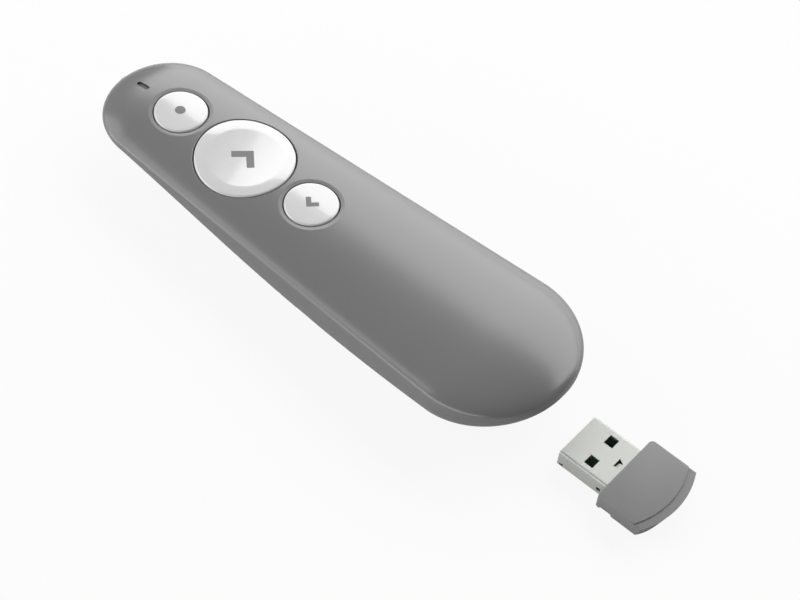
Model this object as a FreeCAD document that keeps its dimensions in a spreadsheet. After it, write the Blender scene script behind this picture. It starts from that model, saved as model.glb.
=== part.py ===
import FreeCAD, Part
import math
import os
from FreeCAD import Placement, Rotation, Vector

# Wireless presentation clicker with its plug-in receiver lying behind it.
# Millimetres. +X runs from the pointing tip to the tail, +Y to the right hand, +Z up.
# The origin is the middle of the flat underside. Stations are measured from the tip.

# Plain numbers that are no lengths
TIP_SQUARENESS = 2.05
BELLY_SQUARENESS = 2.9
STATION_COUNT = 16
SECTION_POINTS = 20
CAP_BELLY_SHARE = 0.25
BRACKET_ANGLE = 45

# Driving dimensions, which go into the sheet
SIZES = {
    # outer form of the clicker
    "body_length": 123.3, "tip_half_width": 14.3, "tail_half_width": 19.35,
    "tip_round": 13.3, "tail_round": 19.5, "rest_from_tip": 71.0,
    "waist_height_tip": 11.2, "waist_height_tail": 13.85,
    "crown_rise_tip": 3.25, "crown_rise_middle": 3.4, "crown_rise_tail": 5.0,
    "belly_depth_tip": 3.2, "belly_depth_front": 8.35, "belly_depth_middle": 12.9,
    "belly_depth_rear": 12.55, "belly_depth_tail": 6.0,
    "wall": 1.2, "belly_wall": 1.3, "overrun": 4.0, "cutter_top": 30.0, "seam_gap": 0.15,
    # bottom pan and its seams
    "pan_inset": 4.0, "pan_top": 10.4,
    # screws and posts
    "screw_radius": 0.8, "screw_hole": 0.95, "screw_head_radius": 1.5,
    "screw_head_height": 1.0, "screw_length": 5.6, "post_radius": 2.1, "head_pocket": 1.7,
    "front_screw_from_tip": 28.0, "front_screw_side": 9.0, "front_seat": 7.6,
    "tray_screw_from_tip": 70.0, "tray_screw_side": 10.2, "tray_seat": 7.4,
    "rear_screw_from_tip": 103.0, "rear_screw_side": 10.6, "rear_seat": 7.4,
    "post_reach": 2.5,
    # battery door and its hinge
    "hinge_from_tip": 43.5, "hinge_height": 3.1, "hinge_barrel_radius": 1.1,
    "hinge_pin_radius": 0.5, "hinge_pin_gap": 0.05, "hinge_ear_radius": 1.3,
    "hinge_ear_width": 1.5, "door_nose_radius": 2.0, "tongue_half_width": 7.5,
    "shoulder_from_tip": 66.0, "shoulder_half_width": 16.5, "door_rear_from_tip": 98.0,
    "door_rear_half_width": 15.0, "door_top": 9.0, "door_corner": 3.0, "shoulder_corner": 1.0,
    "latch_width": 8.0, "latch_height": 3.3, "latch_thickness": 0.9,
    "pad_front": 62.0, "pad_rear": 86.0, "pad_half_width": 3.0,
    # battery bay
    "cell_from_tip": 50.6, "cell_radius": 5.25, "cell_length": 44.5, "cell_height": 6.45,
    "nub_radius": 1.9, "nub_length": 0.8, "sleeve_thickness": 0.1, "cell_gap": 0.2,
    "tray_half_width": 7.0, "tray_bottom": 3.4, "tray_top": 11.7,
    "tray_mouth_half_width": 4.2, "tray_wall": 1.1, "spring_room": 3.45, "plate_thickness": 0.3,
    "plate_half_width": 3.9, "plate_bottom": 3.5, "plate_top": 9.4,
    "spring_base_radius": 3.4, "spring_tip_radius": 2.2, "spring_wire": 0.35,
    "tray_ear_thickness": 1.9, "tray_ear_reach": 2.4, "lead_radius": 0.4,
    # control plane, buttons and switches
    "forward_from_tip": 36.4, "plane_height": 15.2, "forward_radius": 10.9,
    "laser_from_forward": 18.8, "back_from_forward": 19.0, "small_radius": 5.9,
    "button_gap": 0.15, "button_proud": 0.2, "button_skirt": 1.8, "button_wall": 1.2,
    "tab_reach": 0.6, "tab_thickness": 0.4, "tab_half_width": 2.2,
    "dish_radius": 8.2, "dish_depth": 0.5, "dish_floor_drop": 0.35, "ring_width": 1.1,
    "ring_depth": 0.22, "ring_cutter": 0.8,
    "stem_radius": 0.6, "stem_gap": 0.05, "laser_stem_offset": 3.0, "button_travel": 0.4,
    "mark_depth": 0.5, "forward_mark_depth": 0.95, "small_mark_offset": 0.2, "dot_radius": 1.16,
    "forward_arm": 4.8, "forward_arm_width": 1.65, "forward_apex": 2.7,
    "back_arm": 2.7, "back_arm_width": 1.1, "back_apex": 1.45,
    # circuit board, measured in the control plane from the forward button
    "board_drop": 2.65, "board_thickness": 0.8, "board_half_width": 11.0,
    "board_front": 17.0, "board_rear": 22.2, "prong_front": 31.0, "prong_inner": 2.5,
    "prong_outer": 6.4, "board_rear_half_width": 4.8, "board_step": 7.0,
    "switch_width": 3.2, "switch_height": 0.4, "switch_bore": 0.75,
    "chip_size": 4.0, "chip_height": 0.8, "chip_behind": 5.0, "crystal_length": 3.2,
    "crystal_width": 2.5, "crystal_height": 0.7, "part_length": 1.6, "part_width": 0.8,
    "part_height": 0.6, "part_pitch": 2.4,
    # status lamp and laser
    "slot_from_tip": 6.3, "slot_length": 3.3, "slot_width": 1.2, "pipe_bottom": 12.3,
    "pipe_shelf": 0.35, "pipe_top": 13.65, "pipe_gap": 0.05, "led_side": 2.8, "led_length": 1.6,
    "led_width": 0.8, "led_height": 0.55,
    "laser_height": 10.25, "barrel_front": 9.8, "barrel_length": 7.2, "barrel_radius": 1.8,
    "barrel_bore": 1.3, "lens_thickness": 1.2, "diode_radius": 1.25, "diode_length": 1.6,
    "aperture_radius": 1.5, "aperture_gap": 0.05, "window_depth": 3.2,
    "mount_front": 11.0, "mount_rear": 15.0, "mount_half_width": 2.4, "mount_top": 10.25,
    "laser_lead_radius": 0.25, "laser_lead_side": 0.7, "laser_lead_length": 2.6,
    # dock for the receiver in the tail
    "dock_front": 96.4, "dock_wall": 1.0, "dock_mouth": 109.4, "dock_half_width": 7.6,
    "dock_top": 12.2, "dock_bottom": 3.6, "strip_half_width": 15.0, "strip_top": 6.5,
    "recess_half_width": 9.6, "recess_roof": 11.55, "roof_thickness": 0.8, "roof_rear": 121.6,
    "slot_gap": 0.15, "slot_floor_gap": 0.2,
    # receiver, lying on the surface behind the tail
    "plug_tip": 128.5, "plug_length": 11.85, "plug_width": 12.0, "plug_height": 4.5,
    "plug_top": 5.35, "plug_sheet": 0.3, "plug_inset": 2.6, "plug_corner": 0.6,
    "window_start": 5.05, "window_length": 2.15, "window_width": 2.5, "window_centre": 3.25,
    "notch_start": 9.9, "notch_length": 1.25, "notch_width": 2.4, "notch_rear_width": 1.1,
    "side_hole_from_tip": 1.0, "side_hole_height": 0.85, "side_hole_radius": 0.5,
    "side_square_from_tip": 10.3, "side_square_height": 1.75, "side_square": 1.0,
    "cap_half_width": 9.2, "cap_side_length": 11.3, "cap_bulge": 2.3, "cap_top": 5.6,
    "cap_side_height": 3.2, "cap_lip": 2.0, "cap_lip_drop": 0.25, "cap_floor_flat": 2.5,
    "cap_front_round": 1.0, "cap_undercut": 1.9,
    "cap_hollow_front": 2.8, "cap_hollow_rear": 10.4, "cap_hollow_half_width": 6.0,
    "cap_hollow_bottom": 1.5, "cap_hollow_top": 4.4, "detent_centre": 2.7,
    "detent_radius": 1.6, "detent_depth": 0.5, "detent_drop": 0.5,
    "core_start": 0.6, "core_bottom": 1.15, "core_top": 1.9, "core_half_width": 5.05,
    "plug_board_thickness": 0.8, "plug_board_half_width": 5.5, "plug_board_length": 21.0,
    "contact_length": 4.3, "contact_width": 1.0, "contact_height": 0.1, "contact_inner": 1.0,
    "contact_outer": 3.5, "receiver_chip_size": 4.0, "receiver_chip_height": 0.8,
    "receiver_chip_behind": 16.0,
    "dock_travel_x": 30.7, "dock_travel_z": 5.5,
}
CONTROL_TILT = 1.7
SPRING_TURNS = 3
BOARD_PART_COUNT = 5

doc = FreeCAD.newDocument("clicker")
sheet = doc.addObject("Spreadsheet::Sheet", "Sizes")


class Size:
    """A length that keeps both its number and the sheet formula that gives it."""

    def __init__(self, text, number):
        self.text = text
        self.number = number

    def __float__(self):
        return float(self.number)

    def join(self, sign, other, number):
        return Size("(%s %s %s)" % (self.text, sign, formula(other)), number)

    def __add__(self, other):
        return self.join("+", other, self.number + float(other))

    def __sub__(self, other):
        return self.join("-", other, self.number - float(other))

    def __mul__(self, other):
        return self.join("*", other, self.number * float(other))

    def __truediv__(self, other):
        return self.join("/", other, self.number / float(other))

    def __neg__(self):
        return Size("(0 - %s)" % self.text, -self.number)


def formula(amount):
    return amount.text if isinstance(amount, Size) else repr(float(amount))


class Sizes:
    """Every driving dimension as an attribute."""


size = Sizes()
for row, (name, number) in enumerate(SIZES.items(), start=1):
    sheet.set("A%d" % row, name)
    sheet.set("B%d" % row, repr(number))
    sheet.setAlias("B%d" % row, name)
    setattr(size, name, Size("Sizes." + name, number))
doc.recompute()

ZERO = Size("0", 0.0)
AXIS_TURN = {
    "x": Rotation(Vector(0, 1, 0), 90),
    "y": Rotation(Vector(1, 0, 0), -90),
    "z": Rotation(),
}


def bind(thing, **amounts):
    for prop, amount in amounts.items():
        thing.setExpression(prop, formula(amount))


def place(thing, x, y, z):
    """Put an object at a station from the tip, in the part's own frame."""
    thing.setExpression("Placement.Base.x", formula(x - size.rest_from_tip))
    thing.setExpression("Placement.Base.y", formula(y))
    thing.setExpression("Placement.Base.z", formula(z))
    return thing


def box(name, x_span, y_span, z_span):
    thing = doc.addObject("Part::Box", name)
    bind(thing, Length=x_span[1] - x_span[0], Width=y_span[1] - y_span[0], Height=z_span[1] - z_span[0])
    return place(thing, x_span[0], y_span[0], z_span[0])


def rod(name, axis, radius, start, length, centre):
    """A cylinder along a row axis. centre holds the other two coordinates in X, Y, Z order."""
    thing = doc.addObject("Part::Cylinder", name)
    thing.Placement = Placement(Vector(), AXIS_TURN[axis])
    bind(thing, Radius=radius, Height=length)
    spot = {
        "x": (start, centre[0], centre[1]),
        "y": (centre[0], start, centre[1]),
        "z": (centre[0], centre[1], start),
    }[axis]
    return place(thing, *spot)


def cut(name, base, tools):
    thing = doc.addObject("Part::Cut", name)
    thing.Base = base
    thing.Tool = tools[0] if len(tools) == 1 else fuse(name + "_tools", tools)
    return thing


def fuse(name, pieces):
    thing = doc.addObject("Part::MultiFuse", name)
    thing.Shapes = pieces
    return thing


def common(name, pieces):
    thing = doc.addObject("Part::MultiCommon", name)
    thing.Shapes = pieces
    return thing


def group(name, pieces):
    thing = doc.addObject("Part::Compound", name)
    thing.Links = pieces
    return thing


def shaped(name, shape):
    """A shape that Part's own functions make. It is drawn from the tip and then put in place."""
    thing = doc.addObject("Part::Feature", name)
    thing.Shape = shape
    return place(thing, ZERO, ZERO, ZERO)


def tilted(thing, along=ZERO, side=ZERO, above=ZERO):
    """Put an object in the control plane, which rises towards the tail."""
    thing.Placement = Placement(Vector(), Rotation(Vector(0, 1, 0), -CONTROL_TILT))
    cosine = math.cos(math.radians(CONTROL_TILT))
    sine = math.sin(math.radians(CONTROL_TILT))
    x = size.forward_from_tip + along * cosine - above * sine
    z = size.plane_height + along * sine + above * cosine
    return place(thing, x, side, z)


def tilted_rod(name, radius, bottom, height, along=ZERO, side=ZERO):
    thing = doc.addObject("Part::Cylinder", name)
    bind(thing, Radius=radius, Height=height)
    return tilted(thing, along, side, bottom)


def tilted_box(name, along_span, side_span, above_span):
    thing = doc.addObject("Part::Box", name)
    bind(thing, Length=along_span[1] - along_span[0], Width=side_span[1] - side_span[0])
    bind(thing, Height=above_span[1] - above_span[0])
    return tilted(thing, along_span[0], side_span[0], above_span[0])


nodes = {}


def node(name, thing):
    thing.Label = name
    nodes[name] = thing
    return thing


# Outer form


def through_points(share, heights):
    """A smooth curve through evenly spaced heights."""
    total = 0
    last = len(heights) - 1
    for i, height in enumerate(heights):
        weight = 1
        for k in range(len(heights)):
            if k != i:
                weight *= (share * last - k) / (i - k)
        total += weight * float(height)
    return total


def end_rounding(x, length, inset):
    """1 along the body, and falling to 0 on an ellipse at each end."""
    tip_round = float(size.tip_round) - inset
    tail_round = float(size.tail_round) - inset
    if x < tip_round:
        return math.sqrt(max(0, 1 - ((tip_round - x) / tip_round) ** 2))
    if x > length - tail_round:
        return math.sqrt(max(0, 1 - ((x - length + tail_round) / tail_round) ** 2))
    return 1


def half_width(x, inset):
    """Half width at a station from the tip of the outer form."""
    length = float(size.body_length) - 2 * inset
    inner = x - inset
    run = length - float(size.tip_round) - float(size.tail_round) + 2 * inset
    share = min(1, max(0, (inner - float(size.tip_round) + inset) / run))
    width = float(size.tip_half_width) * (1 - share) + float(size.tail_half_width) * share
    return (width - inset) * end_rounding(inner, length, inset)


def section(x, side_inset, top_inset, bottom_inset):
    """One closed cross-section of the body."""
    length = float(size.body_length)
    share = x / length
    width = half_width(x, side_inset)
    rounding = end_rounding(x - side_inset, length - 2 * side_inset, side_inset)
    waist = float(size.waist_height_tip) * (1 - share) + float(size.waist_height_tail) * share
    rises = [size.crown_rise_tip, size.crown_rise_middle, size.crown_rise_tail]
    depths = [size.belly_depth_tip, size.belly_depth_front, size.belly_depth_middle,
              size.belly_depth_rear, size.belly_depth_tail]
    rise = (through_points(share, rises) - top_inset) * rounding
    depth = (through_points(share, depths) - bottom_inset) * rounding
    growth = min(1, 2 * share)
    squareness = TIP_SQUARENESS + (BELLY_SQUARENESS - TIP_SQUARENESS) * growth * (2 - growth)
    points = []
    for i in range(SECTION_POINTS):
        angle = 2 * math.pi * i / SECTION_POINTS
        power = 1 if i <= SECTION_POINTS // 2 else 2 / squareness
        across = math.copysign(abs(math.cos(angle)) ** power, math.cos(angle))
        up = math.copysign(abs(math.sin(angle)) ** power, math.sin(angle))
        points.append(Vector(x, width * across, waist + up * (rise if up > 0 else depth)))
    curve = Part.BSplineCurve()
    curve.interpolate(points, PeriodicFlag=True)
    return Part.Wire([curve.toShape()])


def form(name, side_inset, top_inset, bottom_inset):
    """The body's form, drawn in by an inset, as one closed solid."""
    length = float(size.body_length)
    clear = length - 2 * side_inset
    profiles = []
    for i in range(STATION_COUNT + 1):
        x = side_inset + clear * (1 - math.cos(math.pi * i / STATION_COUNT)) / 2
        if i in (0, STATION_COUNT):
            share = x / length
            waist = float(size.waist_height_tip) * (1 - share) + float(size.waist_height_tail) * share
            profiles.append(Part.Vertex(Vector(x, 0, waist)))
        else:
            profiles.append(section(x, side_inset, top_inset, bottom_inset))
    return shaped(name, Part.makeLoft(profiles, True, False))


def prism(name, points, bottom, top):
    """A closed outline in plan, drawn up into a solid. The points are from the tip."""
    corners = [Vector(float(x), float(y), float(bottom)) for x, y in points]
    face = Part.Face(Part.makePolygon(corners + corners[:1]))
    return shaped(name, face.extrude(Vector(0, 0, float(top) - float(bottom))))


def mirrored(points):
    """An outline's near half, given from front to rear, with its mirror image added."""
    return points + [(x, -y) for x, y in reversed(points)]


def plan_prism(name, inset, bottom, top, rear):
    """The plan outline of the body, drawn in by an inset and ended square at the rear."""
    near = []
    for i in range(STATION_COUNT + 1):
        x = inset + (float(rear) - inset) * (1 - math.cos(math.pi * i / STATION_COUNT / 2))
        near.append(Vector(x, half_width(x, inset), float(bottom)))
    curve = Part.BSplineCurve()
    curve.interpolate([Vector(p.x, -p.y, p.z) for p in reversed(near)][:-1] + near)
    end = Part.makeLine(near[-1], Vector(near[-1].x, -near[-1].y, near[-1].z))
    face = Part.Face(Part.Wire([curve.toShape(), end]))
    return shaped(name, face.extrude(Vector(0, 0, float(top) - float(bottom))))


# Forms that the pieces are cut from
LOW = -size.overrun
HIGH = size.cutter_top
full_form = form("full_form", 0, 0, 0)
floor_cutter = box("floor_cutter", (LOW, size.body_length + size.overrun),
                   (-size.tail_half_width - size.overrun, size.tail_half_width + size.overrun),
                   (LOW, ZERO))
outer_form = cut("outer_form", full_form, [floor_cutter])
inner_form = form("inner_form", float(size.wall), float(size.wall), float(size.belly_wall))
proud_form = form("proud_form", -float(size.button_proud), -float(size.button_proud), 0)


def door_outline(gap):
    """The door in plan: a tongue at the hinge that widens behind the shoulder."""
    tongue = float(size.tongue_half_width) + gap
    front = float(size.hinge_from_tip)
    shoulder = float(size.shoulder_from_tip) - gap
    wide = float(size.shoulder_half_width) + gap
    rear = float(size.door_rear_from_tip) + gap
    rear_side = float(size.door_rear_half_width) + gap
    corner = float(size.door_corner)
    small_corner = float(size.shoulder_corner)
    return mirrored([(front, -tongue), (shoulder, -tongue), (shoulder, -wide + small_corner),
                     (shoulder + small_corner, -wide), (rear - corner, -rear_side),
                     (rear, -rear_side + corner)])


def hinge_nose(name, radius, gap):
    half = size.tongue_half_width + gap
    return rod(name, "y", radius, -half, half * 2, (size.hinge_from_tip, size.hinge_height))


door_area = prism("door_area", door_outline(0), LOW, size.door_top)
door_space = prism("door_space", door_outline(float(size.seam_gap)), LOW, size.door_top + size.seam_gap)
nose_space = hinge_nose("nose_space", size.door_nose_radius + size.seam_gap, size.seam_gap)
pan_area = plan_prism("pan_area", float(size.pan_inset), LOW, size.pan_top,
                      size.shoulder_from_tip - size.seam_gap)
pan_space = plan_prism("pan_space", float(size.pan_inset) - float(size.seam_gap), LOW,
                       size.pan_top + size.seam_gap, size.shoulder_from_tip)


def sides(span):
    return [span, (-span[1], -span[0])]


def post_holes(name, x, y, seat, top):
    """A screw's clearance hole, and the pocket that its head goes up into."""
    return [rod(name + "_hole", "z", size.screw_hole, seat - size.overrun, top - seat + size.overrun * 2,
                (x, y)),
            rod(name + "_pocket", "z", size.head_pocket, LOW, seat - LOW, (x, y))]


def screw(name, x, y, seat):
    shank = rod(name + "_shank", "z", size.screw_radius, seat, size.screw_length, (x, y))
    head = rod(name + "_head", "z", size.screw_head_radius, seat - size.screw_head_height,
               size.screw_head_height, (x, y))
    return fuse(name, [shank, head])


front_post_top = (size.plane_height - size.board_drop - size.board_thickness
                  - (size.forward_from_tip - size.front_screw_from_tip + size.post_radius)
                  * math.tan(math.radians(CONTROL_TILT)))
front_boss_bottom = (size.plane_height - size.board_drop
                     - (size.forward_from_tip - size.front_screw_from_tip - size.post_radius)
                     * math.tan(math.radians(CONTROL_TILT)))
tray_ear_top = size.tray_seat + size.tray_ear_thickness
SCREWS = {
    "front": (size.front_screw_from_tip, size.front_screw_side, size.front_seat, front_boss_bottom),
    "tray": (size.tray_screw_from_tip, size.tray_screw_side, size.tray_seat, tray_ear_top),
    "rear": (size.rear_screw_from_tip, size.rear_screw_side, size.rear_seat,
             size.rear_seat + size.post_reach),
}


def both_sides(make):
    """Make a thing at every screw: the far one and its mirror image."""
    made = []
    for name, (x, y, seat, top) in SCREWS.items():
        made.append(make(name + "_right", x, y, seat, top))
        made.append(make(name + "_left", x, -y, seat, top))
    return made


# Buttons: name, station along the control plane, radius, stem offset
laser_along = -size.laser_from_forward
back_along = size.back_from_forward
BUTTONS = {
    "laser": (laser_along, size.small_radius, size.laser_stem_offset),
    "forward": (ZERO, size.forward_radius, ZERO),
    "back": (back_along, size.small_radius, ZERO),
}


def button_openings():
    """Holes for the caps, and the shallow countersunk ring round each small one."""
    tools = []
    for name, (along, radius, offset) in BUTTONS.items():
        tools.append(tilted_rod(name + "_opening", radius + size.button_gap, -size.overrun * 2,
                                size.overrun * 4, along))
        if name != "forward":
            ring = doc.addObject("Part::Cone", name + "_ring")
            slope = size.ring_width / size.ring_depth
            bind(ring, Radius1=radius + size.button_gap, Height=size.ring_cutter)
            bind(ring, Radius2=radius + size.button_gap + size.ring_cutter * slope)
            tools.append(tilted(ring, along, ZERO, -size.ring_depth))
    return tools


def lamp_slot(name, gap, bottom, top):
    """A straight slot with round ends, along the body."""
    half = (size.slot_length - size.slot_width) / 2
    radius = size.slot_width / 2 - gap
    middle = box(name + "_middle", (size.slot_from_tip - half, size.slot_from_tip + half),
                 (-radius, radius), (bottom, top))
    ends = [rod(name + end, "z", radius, bottom, top - bottom, (x, ZERO))
            for end, x in (("_front", size.slot_from_tip - half), ("_rear", size.slot_from_tip + half))]
    return fuse(name, [middle] + ends)


def make_top_shell():
    bosses = both_sides(lambda name, x, y, seat, top:
                        rod(name + "_boss", "z", size.post_radius, top, HIGH, (x, y)))
    pilots = both_sides(lambda name, x, y, seat, top:
                        rod(name + "_pilot", "z", size.screw_radius, seat, size.screw_length, (x, y)))
    hollow = cut("shell_hollow", inner_form, bosses)
    strip_space = box("strip_space",
                      (size.door_rear_from_tip, size.dock_mouth + size.seam_gap),
                      (-size.strip_half_width - size.seam_gap, size.strip_half_width + size.seam_gap),
                      (LOW, size.strip_top + size.seam_gap))
    mouth = box("mouth", (size.dock_mouth, size.body_length + size.overrun),
                (-size.recess_half_width, size.recess_half_width), (LOW, size.recess_roof))
    window_hole = rod("window_hole", "x", size.aperture_radius + size.aperture_gap, LOW,
                      size.window_depth + size.overrun * 2, (ZERO, size.laser_height))
    slot = lamp_slot("lamp_hole", ZERO, size.pipe_bottom, HIGH)
    tools = [pan_space, door_space, strip_space, mouth, window_hole, slot] + button_openings() + pilots
    return node("top_shell", cut("top_shell", cut("top_blank", outer_form, [hollow]), tools))


def make_bottom_pan():
    x, y, seat, top = SCREWS["front"]
    posts = []
    holes = []
    for name, side in (("pan_right", y), ("pan_left", -y)):
        posts.append(rod(name + "_post", "z", size.post_radius, ZERO, front_post_top, (x, side)))
        holes += post_holes(name, x, side, seat, front_post_top)
    ears = []
    for side in sides((size.tongue_half_width + size.seam_gap,
                       size.tongue_half_width + size.seam_gap + size.hinge_ear_width)):
        ears.append(rod("hinge_ear", "y", size.hinge_ear_radius, side[0], side[1] - side[0],
                        (size.hinge_from_tip, size.hinge_height)))
    pin_hole = rod("pin_hole", "y", size.hinge_pin_radius, -size.tail_half_width, size.tail_half_width * 2,
                   (size.hinge_from_tip, size.hinge_height))
    hollow = cut("pan_hollow", inner_form, posts + ears)
    blank = cut("pan_blank", common("pan_region", [outer_form, pan_area]), [hollow])
    opening = cut("hinge_opening", fuse("door_opening", [door_space, nose_space]), ears)
    return node("bottom_pan", cut("bottom_pan", blank, [opening, pin_hole] + holes))


def make_battery_door():
    nose = hinge_nose("door_nose", size.door_nose_radius, ZERO)
    area = fuse("door_plan", [door_area, nose])
    barrel = hinge_nose("hinge_barrel", size.hinge_barrel_radius, ZERO)
    web = box("hinge_web", (size.hinge_from_tip - size.hinge_barrel_radius,
                            size.hinge_from_tip + size.hinge_barrel_radius),
              (-size.tongue_half_width, size.tongue_half_width), (ZERO, size.hinge_height))
    latch_rear = size.door_rear_from_tip - size.door_corner
    latch = box("latch_leaf", (latch_rear, latch_rear + size.latch_thickness),
                (-size.latch_width / 2, size.latch_width / 2), (ZERO, size.latch_height))
    hollow = cut("door_hollow", inner_form, [barrel, web, latch])
    bore = rod("door_bore", "y", size.hinge_pin_radius + size.hinge_pin_gap, -size.tail_half_width,
               size.tail_half_width * 2, (size.hinge_from_tip, size.hinge_height))
    cell_space = rod("door_scoop", "x", size.cell_radius + size.seam_gap, size.cell_from_tip - size.cell_gap,
                     size.cell_length + size.cell_gap * 2, (ZERO, size.cell_height))
    blank = cut("door_blank", common("door_region", [outer_form, area]), [hollow])
    return node("battery_door", cut("battery_door", blank, [bore, cell_space]))


def make_door_pad():
    block = box("pad_block", (size.pad_front, size.pad_rear), (-size.pad_half_width, size.pad_half_width),
                (ZERO, size.cell_height - size.cell_radius))
    space = rod("pad_scoop", "x", size.cell_radius, size.pad_front - size.overrun,
                size.pad_rear - size.pad_front + size.overrun * 2, (ZERO, size.cell_height))
    return node("door_pad", cut("door_pad", common("pad_in_form", [inner_form, block]), [space]))


def make_hinge_pin():
    reach = size.tongue_half_width + size.seam_gap + size.hinge_ear_width
    return node("hinge_pin", rod("hinge_pin", "y", size.hinge_pin_radius, -reach, reach * 2,
                                 (size.hinge_from_tip, size.hinge_height)))


def make_receiver_dock():
    mouth = size.dock_mouth
    strip = box("dock_strip", (size.door_rear_from_tip + size.seam_gap, mouth),
                (-size.strip_half_width, size.strip_half_width), (LOW, size.strip_top))
    block = box("dock_block", (size.dock_front, mouth), (-size.dock_half_width, size.dock_half_width),
                (size.dock_bottom, size.dock_top))
    lump = common("dock_lump", [outer_form, fuse("dock_blocks", [strip, block])])
    roof = common("dock_roof", [inner_form, box(
        "roof_plate", (mouth - size.dock_wall, size.roof_rear),
        (-size.recess_half_width, size.recess_half_width),
        (size.recess_roof, size.recess_roof + size.roof_thickness))])
    x, y, seat, top = SCREWS["rear"]
    hollows = [box("dock_hollow", (size.dock_front, mouth + size.overrun), side, (LOW, HIGH))
               for side in sides((size.dock_half_width, size.strip_half_width + size.overrun))]
    below_roof = box("hollow_limit", (size.dock_front, mouth),
                     (-size.tail_half_width, size.tail_half_width), (LOW, size.recess_roof))
    side_voids = common("side_voids", [inner_form, fuse("dock_hollows", hollows), below_roof])
    posts = []
    holes = []
    for name, side in (("dock_right", y), ("dock_left", -y)):
        posts.append(rod(name + "_post", "z", size.post_radius, ZERO, top, (x, side)))
        holes += post_holes(name, x, side, seat, top)
    voids = cut("dock_voids", side_voids, posts)
    body = fuse("dock_body", [cut("dock_open", lump, [voids]), roof])
    return node("receiver_dock", cut("receiver_dock", body, [plug_slot()] + holes))


def plug_slot():
    """The slot is as wide as the plug, and its floor falls to the mouth as the plug comes up."""
    slope = size.dock_travel_z / size.dock_travel_x
    top = float(size.plug_top + size.dock_travel_z + size.slot_gap)
    floor = float(size.plug_top - size.plug_height + size.dock_travel_z - size.slot_floor_gap)
    front = float(size.dock_front + size.dock_wall)
    rear = float(size.dock_mouth + size.overrun)
    half = float(size.plug_width / 2 + size.slot_gap)
    fall = (rear - front) * float(slope)
    points = [Vector(front, -half, floor), Vector(front, -half, top), Vector(rear, -half, top),
              Vector(rear, -half, floor - fall)]
    face = Part.Face(Part.makePolygon(points + points[:1]))
    return shaped("plug_slot", face.extrude(Vector(0, 2 * half, 0)))


def make_battery_tray():
    front = size.cell_from_tip - size.spring_room - size.plate_thickness
    rear = size.cell_from_tip + size.cell_length + size.plate_thickness
    block = box("tray_block", (front - size.tray_wall, rear + size.tray_wall - size.cell_gap),
                (-size.tray_half_width, size.tray_half_width), (size.tray_bottom, size.tray_top))
    ears = [box("tray_ear", (size.tray_screw_from_tip - size.tray_ear_reach,
                             size.tray_screw_from_tip + size.tray_ear_reach), side,
                (size.tray_seat, tray_ear_top))
            for side in sides((ZERO, size.tray_screw_side + size.tray_ear_reach))]
    bore = rod("tray_bore", "x", size.cell_radius + size.cell_gap, front, rear - front,
               (ZERO, size.cell_height))
    mouth = box("tray_mouth", (front, rear), (-size.tray_mouth_half_width, size.tray_mouth_half_width),
                (LOW, size.cell_height))
    holes = [rod("tray_hole", "z", size.screw_hole, ZERO, HIGH, (size.tray_screw_from_tip, side))
             for side in (size.tray_screw_side, -size.tray_screw_side)]
    solid = common("tray_inside", [inner_form, fuse("tray_solid", [block] + ears)])
    return node("battery_tray", cut("battery_tray", solid, [bore, mouth] + holes))


def make_battery():
    can_radius = size.cell_radius - size.sleeve_thickness
    can_length = size.cell_length - size.nub_length
    centre = (ZERO, size.cell_height)
    can = rod("can", "x", can_radius, size.cell_from_tip, can_length, centre)
    nub = rod("nub", "x", size.nub_radius, size.cell_from_tip + can_length, size.nub_length, centre)
    node("aaa_cell", fuse("aaa_cell", [can, nub]))
    outside = rod("sleeve_outside", "x", size.cell_radius, size.cell_from_tip + size.sleeve_thickness,
                  can_length - size.sleeve_thickness * 2, centre)
    node("cell_sleeve", cut("cell_sleeve", outside, [rod("sleeve_bore", "x", can_radius,
                                                         size.cell_from_tip, can_length, centre)]))


def make_contacts():
    front = size.cell_from_tip - size.spring_room - size.plate_thickness
    rear = size.cell_from_tip + size.cell_length
    sides_span = (-size.plate_half_width, size.plate_half_width)
    height_span = (size.plate_bottom, size.plate_top)
    node("negative_plate", box("negative_plate", (front, front + size.plate_thickness), sides_span,
                               height_span))
    node("positive_plate", box("positive_plate", (rear, rear + size.plate_thickness), sides_span,
                               height_span))
    wire = float(size.spring_wire)
    start = float(front + size.plate_thickness)
    height = float(size.spring_room) - 2 * wire
    base = float(size.spring_base_radius)
    tip = float(size.spring_tip_radius)
    points = []
    steps = SPRING_TURNS * SECTION_POINTS
    for i in range(steps + 1):
        share = i / steps
        angle = 2 * math.pi * SPRING_TURNS * share
        radius = base + (tip - base) * share
        points.append(Vector(start + wire + height * share, radius * math.cos(angle),
                             float(size.cell_height) + radius * math.sin(angle)))
    curve = Part.BSplineCurve()
    curve.interpolate(points)
    path = Part.Wire([curve.toShape()])
    ring = Part.Wire([Part.Circle(points[0], curve.tangent(curve.FirstParameter)[0], wire).toShape()])
    node("negative_spring", shaped("negative_spring", path.makePipeShell([ring], True, False)))


def make_battery_leads():
    """Two insulated wires that run back along the tray to the far contact, and forward to the board."""
    front = size.cell_from_tip - size.spring_room - size.plate_thickness - size.tray_wall
    height = size.tray_top - size.lead_radius
    side = size.tray_half_width + size.lead_radius
    rear = size.cell_from_tip + size.cell_length
    long_lead = rod("long_lead", "x", size.lead_radius, front, rear - front, (side, height))
    short_lead = rod("short_lead", "x", size.lead_radius, front - size.cell_radius, size.cell_radius,
                     (-side, height))
    node("battery_leads", group("battery_leads", [long_lead, short_lead]))


def make_case_screws():
    screws = both_sides(lambda name, x, y, seat, top: screw(name + "_screw", x, y, seat))
    node("case_screws", group("case_screws", screws))


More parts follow.
